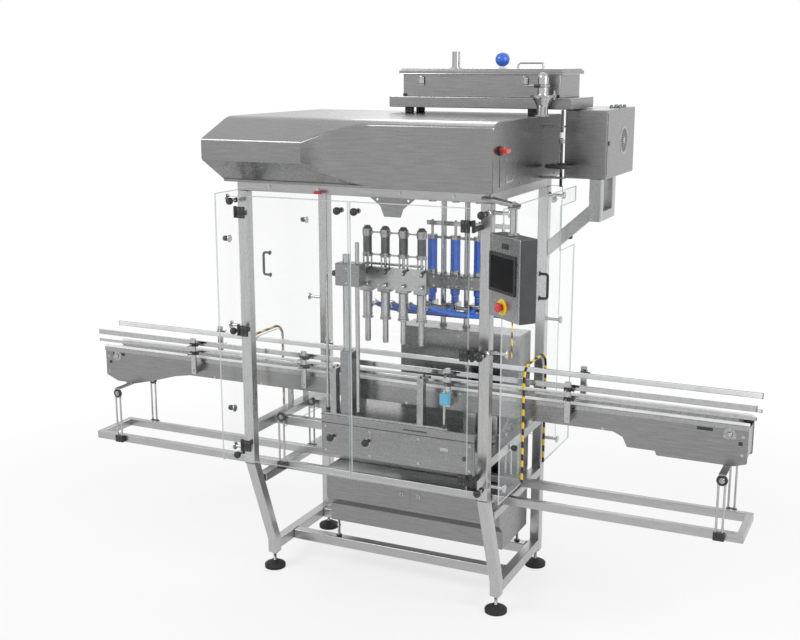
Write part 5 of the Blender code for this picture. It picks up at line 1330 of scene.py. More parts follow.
@dataclass
class Conveyor:
    """Side plates, wear strips, slat belt, sprocket shafts, guide posts and gear motor."""

    front_y: float = PLATE_YS[0]
    rear_y: float = PLATE_YS[1]
    end_x: float = 1.672
    top_z: float = 1.004
    shaft_x: float = 1.595
    shaft_z: float = 0.9815
    sprocket_radius: float = 0.0335
    stations: tuple[float, ...] = GUIDE_XS
    front_rails: tuple[float, float] = FRONT_RAIL_ZS
    rear_rails: tuple[float, float] = REAR_RAIL_ZS
    slat_pitch: float = 0.0381
    spacers: tuple[float, ...] = (-0.98, -0.70, 0.10, 0.72, 1.05)

    def outline(self) -> list[tuple[float, float]]:
        """Outline of a side plate with its deep ends."""
        end = self.end_x
        left = [(0.0, self.top_z), (0.0, 0.872), (0.072, 0.842), (0.192, 0.842), (0.302, 0.868),
                (0.447, 0.910), (0.537, 0.925)]
        right = [(0.577, 0.925), (0.532, 0.905), (0.512, 0.862), (0.388, 0.862), (0.382, 0.842),
                 (0.052, 0.842), (0.0, 0.858), (0.0, self.top_z)]
        return [(x - end, z) for x, z in left] + [(end - x, z) for x, z in right]

    def frame(self) -> None:
        """Build the plates, cross bars, wear strips and guide posts."""
        form = Form("conveyor_bed", "machine", "conveyor_frame", "front_wear_strip",
                    "rear_wear_strip")
        middle = (self.front_y + self.rear_y) / 2
        edge = [Vector((*point, 0)) for point in self.outline()]
        for y in (self.front_y, self.rear_y):
            holes = [ring((sign * self.shaft_x, self.shaft_z), 0.0115, 24) for _, sign in SIDES]
            form.plate([rounded(edge, 0.008, True, 3)] + holes, 0.003, facing_front(y), SHEET_STEEL)
            side = 1 if y > middle else -1
            for _, sign in SIDES:
                hub = (sign * self.shaft_x, y + side * 0.0012, self.shaft_z)
                form.turned([(0.0115, 0.0), (0.027, 0.0), (0.027, 0.002), (0.019, 0.006),
                             (0.0115, 0.0062)],
                            hub, (0, side, 0), SATIN_STEEL, 36, True)
        for _, sign in SIDES:
            form.block(*mirrored(sign, (self.end_x - 0.006, self.front_y + 0.001, 0.876),
                                 (self.end_x - 0.003, self.rear_y - 0.001, self.top_z - 0.004)),
                       SHEET_STEEL, 0.001)
            form.block(*mirrored(sign, (self.end_x - 0.040, self.front_y - 0.002, 0.935),
                                 (self.end_x - 0.022, self.front_y + 0.001, 0.953)), BLACK, 0.0015)
        for x in self.spacers:
            form.rod((x, self.front_y, 0.932), (x, self.rear_y, 0.932), 0.006, SATIN_STEEL)
        for low, high in ((-1.625, -1.546), (1.457, 1.524)):
            form.block((low, self.front_y - 0.0024, 0.984), (high, self.front_y, 0.998), BLACK,
                       0.0008)
        reach = self.end_x + 0.002
        for y, side in ((self.front_y, 1), (self.rear_y, -1)):
            form.block((-reach, y - side * 0.006, 1.003), (reach, y + side * 0.010, 1.024),
                       SATIN_STEEL, 0.002)
            form.block((-reach, y - side * 0.003, 1.023), (reach, y + side * 0.0102, 1.036), WHITE,
                       0.0035, 3)
        self.posts(form, middle)
        form.piece()

    def posts(self, form: Form, middle: float) -> None:
        """Add the posts that the guide rods slide in, with their clamps and knobs."""
        for side, levels, plate_y in ((-1, self.front_rails, self.front_y),
                                      (1, self.rear_rails, self.rear_y)):
            y = middle + side * 0.124
            top = levels[1] + 0.034
            for x in self.stations:
                form.block((x - 0.014, y - 0.007, 0.952), (x + 0.014, y + 0.007, top), BRIGHT_STEEL,
                           0.003, 3)
                form.block((x - 0.012, plate_y + side * 0.001, 0.955), (x + 0.012, y, 0.985),
                           SATIN_STEEL, 0.002)
                form.hexagon((x, y + side * 0.0065, 0.970), (0, side, 0), 0.013, 0.006,
                             BRIGHT_STEEL)
                for z in levels:
                    form.block((x - 0.017, y - 0.0105, z - 0.0095),
                               (x + 0.017, y + 0.0105, z + 0.0095),
                               BLACK, 0.003)
                    form.rod((x + 0.014, y, z), (x + 0.020, y, z), 0.005, BRIGHT_STEEL)
                    form.turned([(0.0, 0.0), (0.0075, 0.0), (0.0085, 0.003), (0.0085, 0.009),
                                 (0.006, 0.0115), (0.0, 0.0115)], (x + 0.0185, y, z), RIGHT, BLACK,
                                20)

    def belt(self) -> None:
        """Build the slat belt and the sprocket shafts."""
        radius, middle = self.sprocket_radius + 0.0030, (self.front_y + self.rear_y) / 2
        straight, turn = 2 * self.shaft_x, math.pi * radius
        count = round(2 * (straight + turn) / self.slat_pitch)
        slats, links = [], []
        for i in range(count):
            run = 2 * (straight + turn) * i / count
            half, rest = (1, run) if run < straight + turn else (-1, run - straight - turn)
            if rest < straight:
                place = Vector((half * (rest - self.shaft_x), middle, self.shaft_z + half * radius))
                up, along = Vector((0, 0, half)), Vector((half, 0, 0))
            else:
                angle = (rest - straight) / radius
                up = Vector((math.sin(angle), 0, math.cos(angle))) * half
                along = Vector((math.cos(angle), 0, -math.sin(angle))) * half
                place = Vector((half * self.shaft_x, middle, self.shaft_z)) + up * radius
            slats.append((place, up, along))
            links.append((place - up * 0.0022, up, along))
        BARS.set("belt_slats", "machine", slats, (self.slat_pitch * 0.965, 0.114, 0.0026),
                 SATIN_STEEL, ("slat_belt",))
        BARS.set("belt_links", "machine", links, (self.slat_pitch * 0.80, 0.040, 0.0030),
                 DARK_STEEL)
        for body, node, x in (("drive_sprockets", "drive_shaft", self.shaft_x),
                              ("idler_sprockets", "idler_shaft", -self.shaft_x)):
            form = Form(f"{body}_set", body, node)
            form.rod((x, self.front_y - 0.012, self.shaft_z),
                     (x, self.rear_y + 0.012, self.shaft_z),
                     0.010, BRIGHT_STEEL, 32)
            teeth = []
            for i in range(8):
                for part, reach in ((0.0, 0.0265), (0.25, 0.0325), (0.60, 0.0325), (0.85, 0.0265)):
                    angle = math.tau * (i + part) / 8
                    teeth.append((x + reach * math.cos(angle),
                                  self.shaft_z + reach * math.sin(angle)))
            for y in (-0.030, 0.030):
                form.plate([teeth], 0.014, facing_front(middle + y), WHITE, 0.001)
            form.block((x - 0.002, self.front_y - 0.0130, self.shaft_z + 0.0085),
                       (x + 0.002, self.front_y - 0.0005, self.shaft_z + 0.0105), DARK_STEEL,
                       0.0003)
            form.piece()

    def motor(self) -> None:
        """Build the worm gearbox and its finned motor."""
        form = Form("drive_motor", "machine", "gear_motor")
        x, y, z = self.shaft_x, self.rear_y + 0.0488, self.shaft_z - 0.035
        case = rounded([(x - 0.045, z - 0.040, 0), (x + 0.045, z - 0.040, 0),
                        (x + 0.045, z + 0.045, 0), (x + 0.020, z + 0.053, 0),
                        (x - 0.020, z + 0.053, 0), (x - 0.045, z + 0.045, 0)],
                       0.010, True, 4)
        form.plate([case], 0.070, facing_front(y), CAST_GREY, 0.003)
        form.turned([(0.0112, 0.0), (0.017, 0.0), (0.017, 0.012), (0.0112, 0.012)],
                    (x, self.rear_y + 0.0020, self.shaft_z), BACK, CAST_GREY, 32, True)
        form.cap((0.026, 0.002, 0.018, 0.004), (x, y + 0.0345, self.shaft_z), BACK, CAST_GREY, 36)
        fins = [(0.0, 0.0), (0.031, 0.0), (0.031, 0.010)]
        for i in range(16):
            at = 0.014 + i * 0.007
            fins += [(0.0285, at), (0.0335, at + 0.0005), (0.0335, at + 0.0025),
                     (0.0285, at + 0.0032)]
        fins += [(0.0285, 0.130), (0.034, 0.132), (0.034, 0.163), (0.030, 0.1695), (0.0, 0.170)]
        form.turned(fins, (x - 0.044, y, z), LEFT, CAST_GREY, 40)
        form.block((x - 0.120, y - 0.020, z + 0.028), (x - 0.070, y + 0.020, z + 0.050), BLACK,
                   0.004)
        form.piece()
        places = [((x + dx, y + 0.0352, z + dz), BACK) for dx in (-0.035, 0.035)
                  for dz in (-0.030, 0.034)]
        HEADS.set("gearbox_screws", "machine", places, SATIN_STEEL, 0.0042, 0.005)

    def build(self) -> None:
        """Build every piece of the conveyor."""
        self.frame()
        self.belt()
        self.motor()
        places = []
        for y, side in ((self.front_y - 0.0018, -1), (self.rear_y + 0.0018, 1)):
            places += [((x, y, 0.932), (0, side, 0)) for x in self.spacers]
            places += [((sign * (self.end_x - 0.022), y, z), (0, side, 0)) for _, sign in SIDES
                       for z in (0.895, 0.975)]
            places += [((sign * self.shaft_x + dx, y - side * 0.001 + side * 0.003,
                         self.shaft_z + dz),
                        (0, side, 0)) for _, sign in SIDES
                       for dx, dz in ((0, 0.022), (0.019, -0.011),
                                                                          (-0.019, -0.011))]
        HEADS.set("conveyor_bolts", "machine", places, BRIGHT_STEEL, 0.0048)


@dataclass
class Guides:
    """Front and rear guide rails with the rods that carry them."""

    end_x: float = 1.700
    stations: tuple[float, ...] = GUIDE_XS

    def build(self) -> None:
        """Build both sets of rails."""
        rows = (("front", -1, -0.168, FRONT_RAIL_ZS), ("rear", 1, -0.012, REAR_RAIL_ZS))
        for name, side, y, levels in rows:
            form = Form(f"{name}_rail_set", f"{name}_rails", f"{name}_guide_low",
                        f"{name}_guide_high")
            for z, tall in zip(levels, (0.014, 0.026)):
                low, high = z - tall / 2, z + tall / 2
                form.block((-self.end_x, y + side * 0.003, low),
                           (self.end_x, y + side * 0.010, high),
                           BRIGHT_STEEL, 0.0025, 3)
                form.block((-self.end_x, y, low + 0.002),
                           (self.end_x, y + side * 0.0055, high - 0.002),
                           WHITE, 0.0024, 3)
                for _, sign in SIDES:
                    form.block(*mirrored(sign, (self.end_x - 0.004, y, low),
                                         (self.end_x, y + side * 0.010, high)), BLACK, 0.0015)
            for x in self.stations:
                for z in levels:
                    form.block((x - 0.009, y + side * 0.009, z - 0.006),
                               (x + 0.009, y + side * 0.014, z + 0.006), SATIN_STEEL, 0.0015)
                    form.rod((x, y + side * 0.012, z), (x, y + side * 0.100, z), 0.005,
                             BRIGHT_STEEL)
                    form.hexagon((x, y + side * 0.0135, z), (0, side, 0), 0.010, 0.005,
                                 BRIGHT_STEEL)
            form.piece()


@dataclass
class Support:
    """Long frame under the conveyor, and the stands that hold the conveyor on it."""

    end_x: float = 1.690
    rail_ys: tuple[float, float] = (-0.250, 0.030)
    low_z: float = 0.535
    top_z: float = 0.575
    post_x: float = POST_X
    stands: tuple[float, ...] = (-1.530, -0.535, 0.540, 1.590)

    def frame(self) -> None:
        """Build the rails, end pieces and bearers."""
        form = Form("support_rails", "machine", "support_frame")
        front, rear = self.rail_ys
        form.tube((-self.end_x, front, self.low_z), (self.end_x, front + 0.030, self.top_z),
                  BEAM_STEEL, 0.004)
        form.tube((-self.end_x, rear - 0.030, self.low_z), (self.end_x, rear, self.top_z),
                  BEAM_STEEL, 0.004)
        for _, sign in SIDES:
            form.tube(*mirrored(sign, (self.end_x - 0.030, front + 0.028, self.low_z),
                                (self.end_x, rear - 0.028, self.top_z)), CROSS_STEEL, 0.004)
            x = sign * self.post_x
            start = -0.411 + (0.620 - 0.495) * 0.186 / 0.470 + 0.008
            form.tube((x - 0.025, start, 0.495), (x + 0.025, 0.2997, 0.5362), CROSS_STEEL)
            for y in (front, rear - 0.030):
                for at in (x - 0.026, x + 0.026):
                    bead = [(at, y + 0.003, self.low_z + 0.001),
                            (at, y + 0.027, self.low_z + 0.001)]
                    form.pipe(bead, 0.002, DARK_STEEL, 1)
        form.piece()

    def stand(self, form: Form, x: float) -> None:
        """Add one stand: rod pairs with clamp blocks, rings, cross plate and tabs."""
        ends = []
        for rail_y, side in ((self.rail_ys[0], -1), (self.rail_ys[1], 1)):
            y = rail_y + side * 0.012
            ends.append(y)
            for dx in (-0.0135, 0.0135):
                form.rod((x + dx, y, 0.537), (x + dx, y, 0.795), 0.005, BRIGHT_STEEL)
                form.hexagon((x + dx, y, self.top_z + 0.0002), UP, 0.012, 0.006, BRIGHT_STEEL)
                form.hexagon((x + dx, y, 0.781), UP, 0.012, 0.006, BRIGHT_STEEL)
            form.block((x - 0.024, rail_y + side * 0.0003, 0.539),
                       (x + 0.024, rail_y + side * 0.024, self.top_z), BLACK, 0.003)
            form.turned([(0.013, -0.005), (0.0225, -0.005), (0.024, -0.003), (0.024, 0.003),
                         (0.0225, 0.005), (0.013, 0.005), (0.012, 0.0)], (x, y, 0.806), BACK,
                        BLACK, 36, True)
            form.rod((x, y - 0.008, 0.806), (x, y + 0.008, 0.806), 0.0122, BRIGHT_STEEL, 28)
            form.hexagon((x, y + side * 0.0078, 0.806), (0, side, 0), 0.014, 0.006, SATIN_STEEL)
        form.block((x - 0.016, ends[0] - 0.005, 0.828), (x + 0.016, ends[1] + 0.005, 0.834),
                   SATIN_STEEL, 0.001)
        top = 0.8417 if abs(x) > 1.0 else 0.9247
        for y in PLATE_YS:
            form.block((x - 0.015, y - 0.004, 0.833), (x + 0.015, y + 0.004, top), SATIN_STEEL,
                       0.001)
            form.block((x - 0.014, y - 0.0055, top - 0.0075), (x + 0.014, y - 0.0035, top - 0.0005),
                       SATIN_STEEL, 0.0005)

    def build(self) -> None:
        """Build the frame and the four stands."""
        self.frame()
        form = Form("stand_rods", "machine", *(f"conveyor_stand_{i}" for i in (1, 2, 3, 4)))
        for x in self.stands:
            self.stand(form, x)
        form.piece()


@dataclass
class Housings:
    """Table housing on its side rails, lower cabinet and the tall dosing drive housing."""

    left_x: float = -0.290
    right_x: float = 0.500
    front_y: float = -0.300
    low_z: float = 0.668
    top_z: float = 0.866
    cabinet: tuple[float, float] = (-0.360, 0.564)

    def table(self) -> None:
        """Build the table with its front cover, deck plate and side rails."""
        form = Form("table_case", "machine", "table_housing")
        form.block((self.left_x, self.front_y, self.low_z),
                   (self.right_x, 0.1097, self.top_z - 0.003),
                   SHEET_STEEL, 0.004, 3)
        form.block((self.left_x - 0.002, self.front_y - 0.0015, self.top_z - 0.0040),
                   (self.right_x + 0.002, 0.1095, self.top_z), HOOD_STEEL, 0.0015)
        cover = rectangle((self.left_x + 0.012, self.low_z + 0.008), (self.right_x - 0.012, 0.822),
                          0.006)
        form.plate([cover], 0.003, facing_front(self.front_y - 0.0002), HOOD_STEEL, 0.0008)
        # Painted shade: a black strip along the groove above the front cover.
        form.block((self.left_x + 0.004, self.front_y - 0.0006, 0.8235),
                   (self.right_x - 0.004, self.front_y + 0.001, 0.8275), BLACK, 0.0003)
        form.block((0.140, self.front_y - 0.0010, 0.8400), (0.262, self.front_y + 0.001, 0.8480),
                   BLACK, 0.0008)
        form.block((0.330, self.front_y - 0.0045, 0.768), (0.372, self.front_y, 0.784),
                   BRIGHT_STEEL, 0.002)
        form.cap((0.011, 0.003, 0.009, 0.0045), (0.450, self.front_y - 0.001, 0.745), FRONT, BLACK,
                 28)
        for x in (-0.22, 0.42):
            form.block((x - 0.030, -0.169, self.top_z - 0.002), (x + 0.030, -0.011, 0.9247),
                       SATIN_STEEL, 0.002)
        for _, sign in SIDES:
            x = sign * POST_X
            form.tube((x - 0.025, -0.4107, 0.765), (x + 0.025, 0.2997, 0.810), CROSS_STEEL)
        for y in (-0.250, 0.065):
            for low, high in ((-0.574, self.left_x + 0.004), (self.right_x - 0.004, 0.574)):
                form.tube((low, y, 0.765), (high, y + 0.040, 0.810), BEAM_STEEL)
        form.piece()
        places = [((x, self.front_y - 0.002, z), FRONT) for z in (0.690, 0.808)
                  for x in (self.left_x + 0.025, -0.03, 0.22, self.right_x - 0.025)]
        places += [((x, y, self.top_z + 0.0005), UP)
                   for x in (self.left_x + 0.02, 0.1, self.right_x - 0.02)
                   for y in (-0.19, 0.08)]
        HEADS.set("table_screws", "machine", places, BRIGHT_STEEL, *SHEET_SCREW)

    def low_cabinet(self) -> None:
        """Build the folded cabinet with its doors, locks and feet."""
        form = Form("cabinet_case", "machine", "lower_cabinet")
        left, right = self.cabinet
        profile = [(0.270, 0.533, 0), (-0.130, 0.533, 0), (-0.130, 0.370, 0), (-0.085, 0.325, 0),
                   (-0.085, 0.236, 0), (0.270, 0.236, 0)]
        form.plate([rounded(profile, 0.006, True, 3)], right - left,
                   facing_side((left + right) / 2), SHEET_STEEL, 0.003)
        middle = (left + right) / 2
        for low, high in ((left + 0.010, middle - 0.003), (middle + 0.003, right - 0.010)):
            form.plate([rectangle((low, 0.384), (high, 0.524), 0.006)], 0.003,
                       facing_front(-0.1302), HOOD_STEEL, 0.0008)
        for x in (middle - 0.045, middle + 0.045):
            form.cap((0.012, 0.003, 0.010, 0.0045), (x, -0.1310, 0.455), FRONT, SATIN_STEEL, 28)
            form.block((x - 0.0015, -0.1362, 0.448), (x + 0.0015, -0.1340, 0.462), BLACK, 0.0004)
        for x in (left + 0.040, right - 0.040):
            for y in BEAM_YS:
                form.rod((x, y, 0.1503), (x, y, 0.158), 0.014, BLACK)
                form.turned(thread(0.007, 0.157, 0.237), (x, y, 0.0), UP, SATIN_STEEL, 18)
                form.hexagon((x, y, 0.205), UP, 0.018, 0.008, BRIGHT_STEEL)
        form.piece()

    def drive(self) -> None:
        """Build the tall housing with its covers."""
        form = Form("drive_case", "machine", "dosing_drive")
        form.block((-0.060, 0.110, 0.5333), (0.564, 0.270, 1.240), SHEET_STEEL, 0.005, 3)
        form.plate([rectangle((-0.046, 0.885), (0.550, 1.226), 0.008)], 0.003, facing_front(0.1098),
                   HOOD_STEEL, 0.0008)
        for low, high in ((0.550, 0.850), (0.870, 1.226)):
            form.plate([rectangle((-0.046, low), (0.550, high), 0.008)], 0.003,
                       facing_front(0.2702), HOOD_STEEL, 0.0008)
        form.plate([rectangle((0.124, 0.885), (0.256, 1.226), 0.006)], 0.003, facing_side(0.5642),
                   HOOD_STEEL, 0.0008)
        form.piece()
        places = [((x, 0.108, z), FRONT) for x in (-0.030, 0.25, 0.535) for z in (0.90, 1.212)]
        places += [((x, 0.272, z), BACK) for x in (-0.030, 0.25, 0.535)
                   for z in (0.565, 0.835, 0.885, 1.212)]
        HEADS.set("housing_screws", "machine", places, BRIGHT_STEEL, *SHEET_SCREW)
        # Painted shade: black bars on the rear cover stand in for the vent slot openings.
        slots = [((0.250, 0.2722, 0.620 + 0.014 * i), BACK, RIGHT) for i in range(8)]
        BARS.set("vent_slots", "machine", slots, (0.160, 0.0050, 0.0016), BLACK)

    def build(self) -> None:
        """Build the three housings."""
        self.table()
        self.low_cabinet()
        self.drive()


@dataclass
class Dosing:
    """Dosing cylinders on their manifold, with pistons, valves and product hoses."""

    y: float = 0.195
    cylinder_xs: tuple[float, ...] = (0.072, 0.194, 0.316, 0.438)
    manifold_z: float = 1.430
    barrel_z: float = 1.498
    barrel_top_z: float = 1.690
    top_z: float = 1.935
    valve_z: float = 1.340
    nozzle_xs: tuple[float, ...] = NOZZLE_XS
    nozzle_y: float = NOZZLE_Y
    inlet_z: float = INLET_Z

    def frame(self) -> None:
        """Build the manifold, top plate, columns and air cylinders."""
        form = Form("dosing_rack", "machine", "dosing_frame")
        first, last = self.cylinder_xs[0] - 0.050, self.cylinder_xs[-1] + 0.050
        low, high = self.y - 0.034, self.y + 0.034
        form.block((first, low, self.manifold_z), (last, high, self.barrel_z - 0.0003), SHEET_STEEL,
                   0.003, 3)
        form.block((first, low, self.top_z - 0.010), (last, high, self.top_z), SHEET_STEEL, 0.0015)
        pitch = self.cylinder_xs[1] - self.cylinder_xs[0]
        for x in (at + pitch / 2 for at in self.cylinder_xs[:-1]):
            for y in (self.y - 0.0145, self.y + 0.0145):
                form.rod((x, y, self.barrel_z - 0.002), (x, y, self.top_z - 0.004), 0.008,
                         BRIGHT_STEEL)
                for z in (self.barrel_z - 0.0005, self.top_z - 0.018):
                    form.rod((x, y, z), (x, y, z + 0.007), 0.0115, SATIN_STEEL)
            form.rod((x, self.y, 1.2403), (x, self.y, self.manifold_z + 0.003), 0.014, BRIGHT_STEEL,
                     28)
            form.rod((x, self.y, 1.2402), (x, self.y, 1.250), 0.019, SATIN_STEEL, 28)
        for x in self.cylinder_xs:
            profile = [(0.0, 0.0), (0.0195, 0.0), (0.020, 0.001), (0.020, 0.014), (0.0178, 0.016),
                       (0.0178, 0.060), (0.020, 0.062), (0.020, 0.0765), (0.0, 0.077)]
            form.turned(profile, (x, self.y, 1.850), UP, BRIGHT_STEEL, 32)
            form.rod((x, self.y - 0.018, 1.857), (x, self.y - 0.028, 1.857), 0.0055, BRIGHT_STEEL)
            form.rod((x, self.y - 0.0265, 1.857), (x, self.y - 0.0265, 1.868), 0.0042, SATIN_STEEL)
            form.hexagon((x, self.y - 0.0195, 1.857), FRONT, 0.012, 0.004, SATIN_STEEL)
        form.piece()
        places = [((x + dx, self.y - 0.0342, self.manifold_z + dz), FRONT) for x in self.cylinder_xs
                  for dx in (-0.022, 0.022) for dz in (0.012, 0.056)]
        HEADS.set("manifold_screws", "machine", places, BRIGHT_STEEL, 0.0038, 0.0035, 16)

    def barrels(self) -> None:
        """Build the dosing barrels and the pistons on their bridge."""
        form = Form("dosing_barrels", "machine", "dosing_cylinders")
        height = self.barrel_top_z - self.barrel_z
        for number, x in enumerate(self.cylinder_xs):
            finish = SATIN_STEEL if number == 3 else BLUE
            shell = [(0.0245, height - 0.018), (0.0245, 0.018), (0.008, 0.0145), (0.008, 0.012),
                     (0.0210, 0.016), (0.0210, height - 0.012), (0.0245, height - 0.0125)]
            form.turned(shell, (x, self.y, self.barrel_z), UP, finish, 40, True)
            lower = [(0.026, 0.0185), (0.0255, 0.0195), (0.022, 0.0195), (0.0085, 0.0115),
                     (0.0085, 0.0005), (0.0255, 0.0), (0.026, 0.0005)]
            form.turned(lower, (x, self.y, self.barrel_z), UP, SATIN_STEEL, 40, True)
            upper = [(0.026, height - 0.0195), (0.026, height - 0.0005), (0.0255, height),
                     (0.0076, height), (0.0076, height - 0.008), (0.0215, height - 0.0125),
                     (0.0215, height - 0.0195)]
            form.turned(upper, (x, self.y, self.barrel_z), UP, SATIN_STEEL, 40, True)
            form.rod((x, self.y - 0.024, self.barrel_top_z - 0.010),
                     (x, self.y - 0.033, self.barrel_top_z - 0.010), 0.0045, BRIGHT_STEEL)
        for left, right in zip(self.cylinder_xs, self.cylinder_xs[1:]):
            form.block((left + 0.0235, self.y - 0.0055, self.barrel_top_z - 0.020),
                       (right - 0.0235, self.y + 0.0055, self.barrel_top_z - 0.006), SATIN_STEEL,
                       0.0015)
        form.piece()
        form = Form("piston_set", "pistons", "dosing_pistons")
        form.block((self.cylinder_xs[0] - 0.030, self.y - 0.0055, 1.735),
                   (self.cylinder_xs[-1] + 0.030, self.y + 0.0055, 1.757), BRIGHT_STEEL, 0.002, 3)
        for x in self.cylinder_xs:
            form.turned([(0.0, 1.736), (0.007, 1.736), (0.007, 1.562), (0.0200, 1.561),
                         (0.0205, 1.560), (0.0205, 1.539), (0.0200, 1.538),
                         (0.0, 1.538)][::-1], (x, self.y, 0),
                        UP, BRIGHT_STEEL, 32)
            form.hexagon((x, self.y, 1.757), UP, 0.0105, 0.006, SATIN_STEEL)
        form.piece()

    def valves(self) -> None:
        """Build the valves on their common shaft."""
        form = Form("dosing_valves", "machine", "valve_block")
        shaft_y = self.y - 0.040
        first, last = self.cylinder_xs[0], self.cylinder_xs[-1]
        form.rod((first - 0.034, shaft_y, self.valve_z), (last + 0.040, shaft_y, self.valve_z),
                 0.010, BRIGHT_STEEL, 28)
        form.hexagon((last + 0.038, shaft_y, self.valve_z), RIGHT, 0.022, 0.008, SATIN_STEEL)
        for number, x in enumerate(self.cylinder_xs):
            neck = [(0.0, 0.022), (0.017, 0.022), (0.019, 0.030), (0.019, 0.056), (0.0235, 0.060),
                    (0.024, 0.062), (0.024, 0.0890), (0.0235, 0.0896), (0.0, 0.0896)]
            form.turned(neck, (x, self.y, self.valve_z), UP, BLUE, 36)
            for z in (0.034, 0.050):
                form.rod((x, self.y, self.valve_z + z), (x, self.y, self.valve_z + z + 0.003),
                         0.0196, BRIGHT_STEEL, 32)
            form.block((x - 0.027, self.y - 0.060, self.valve_z - 0.028),
                       (x + 0.027, self.y + 0.024, self.valve_z + 0.026),
                       BLUE if number == 3 else BRIGHT_STEEL, 0.006, 3)
            form.turned([(0.0, 0.0), (0.0165, 0.0), (0.0185, 0.002), (0.0185, 0.004), (0.0, 0.004)],
                        (x, self.y - 0.0582, self.valve_z), FRONT, SATIN_STEEL, 32)
        x = self.cylinder_xs[-1]
        form.block((x - 0.010, self.y - 0.0605, self.valve_z + 0.012),
                   (x + 0.022, self.y - 0.0520, self.valve_z + 0.024), YELLOW, 0.002)
        form.piece()

    def route(self, start: Vector, end: Vector) -> list[Vector]:
        """Points of a sagging hose that leaves and enters along Y."""
        lead, pull, sag = Vector((0, 0.010, 0)), Vector((0, 0.035, 0)), Vector((0, 0, -0.035))
        found, finish = [start], end
        start, end = start - lead, end + lead
        first, second = start - pull + sag, end + pull + sag
        for i in range(25):
            t = i / 24
            found.append(start * (1 - t) ** 3 + first * 3 * t * (1 - t) ** 2
                         + second * 3 * t * t * (1 - t) + end * t ** 3)
        return found + [finish]

    def hoses(self) -> None:
        """Build the hoses with their clamps and the comb that spaces them."""
        form = Form("hose_set", "machine", "product_hoses")
        middles = []
        for target, x in zip(self.nozzle_xs, self.cylinder_xs):
            path = self.route(Vector((x, self.y - 0.0603, self.valve_z)),
                              Vector((target, self.nozzle_y + 0.0723, self.inlet_z)))
            form.pipe(path, 0.0125, BLUE_HOSE, 5)
            for near, far in ((path[0], path[1]), (path[-1], path[-2])):
                along = (far - near).normalized()
                form.turned([(0.0126, 0.002), (0.0140, 0.002), (0.0142, 0.003), (0.0142, 0.009),
                             (0.0140, 0.010), (0.0126, 0.010)], near, along, BRIGHT_STEEL, 32, True)
            middles.append(path[len(path) // 2])
        low, high = middles[0], middles[-1]
        form.block((low.x - 0.020, low.y - 0.005, low.z - 0.016),
                   (high.x + 0.020, low.y + 0.005, low.z + 0.016),
                   BLACK, 0.003)
        form.piece()

    def build(self) -> None:
        """Build the whole dosing unit."""
        self.frame()
        self.barrels()
        self.valves()
        self.hoses()


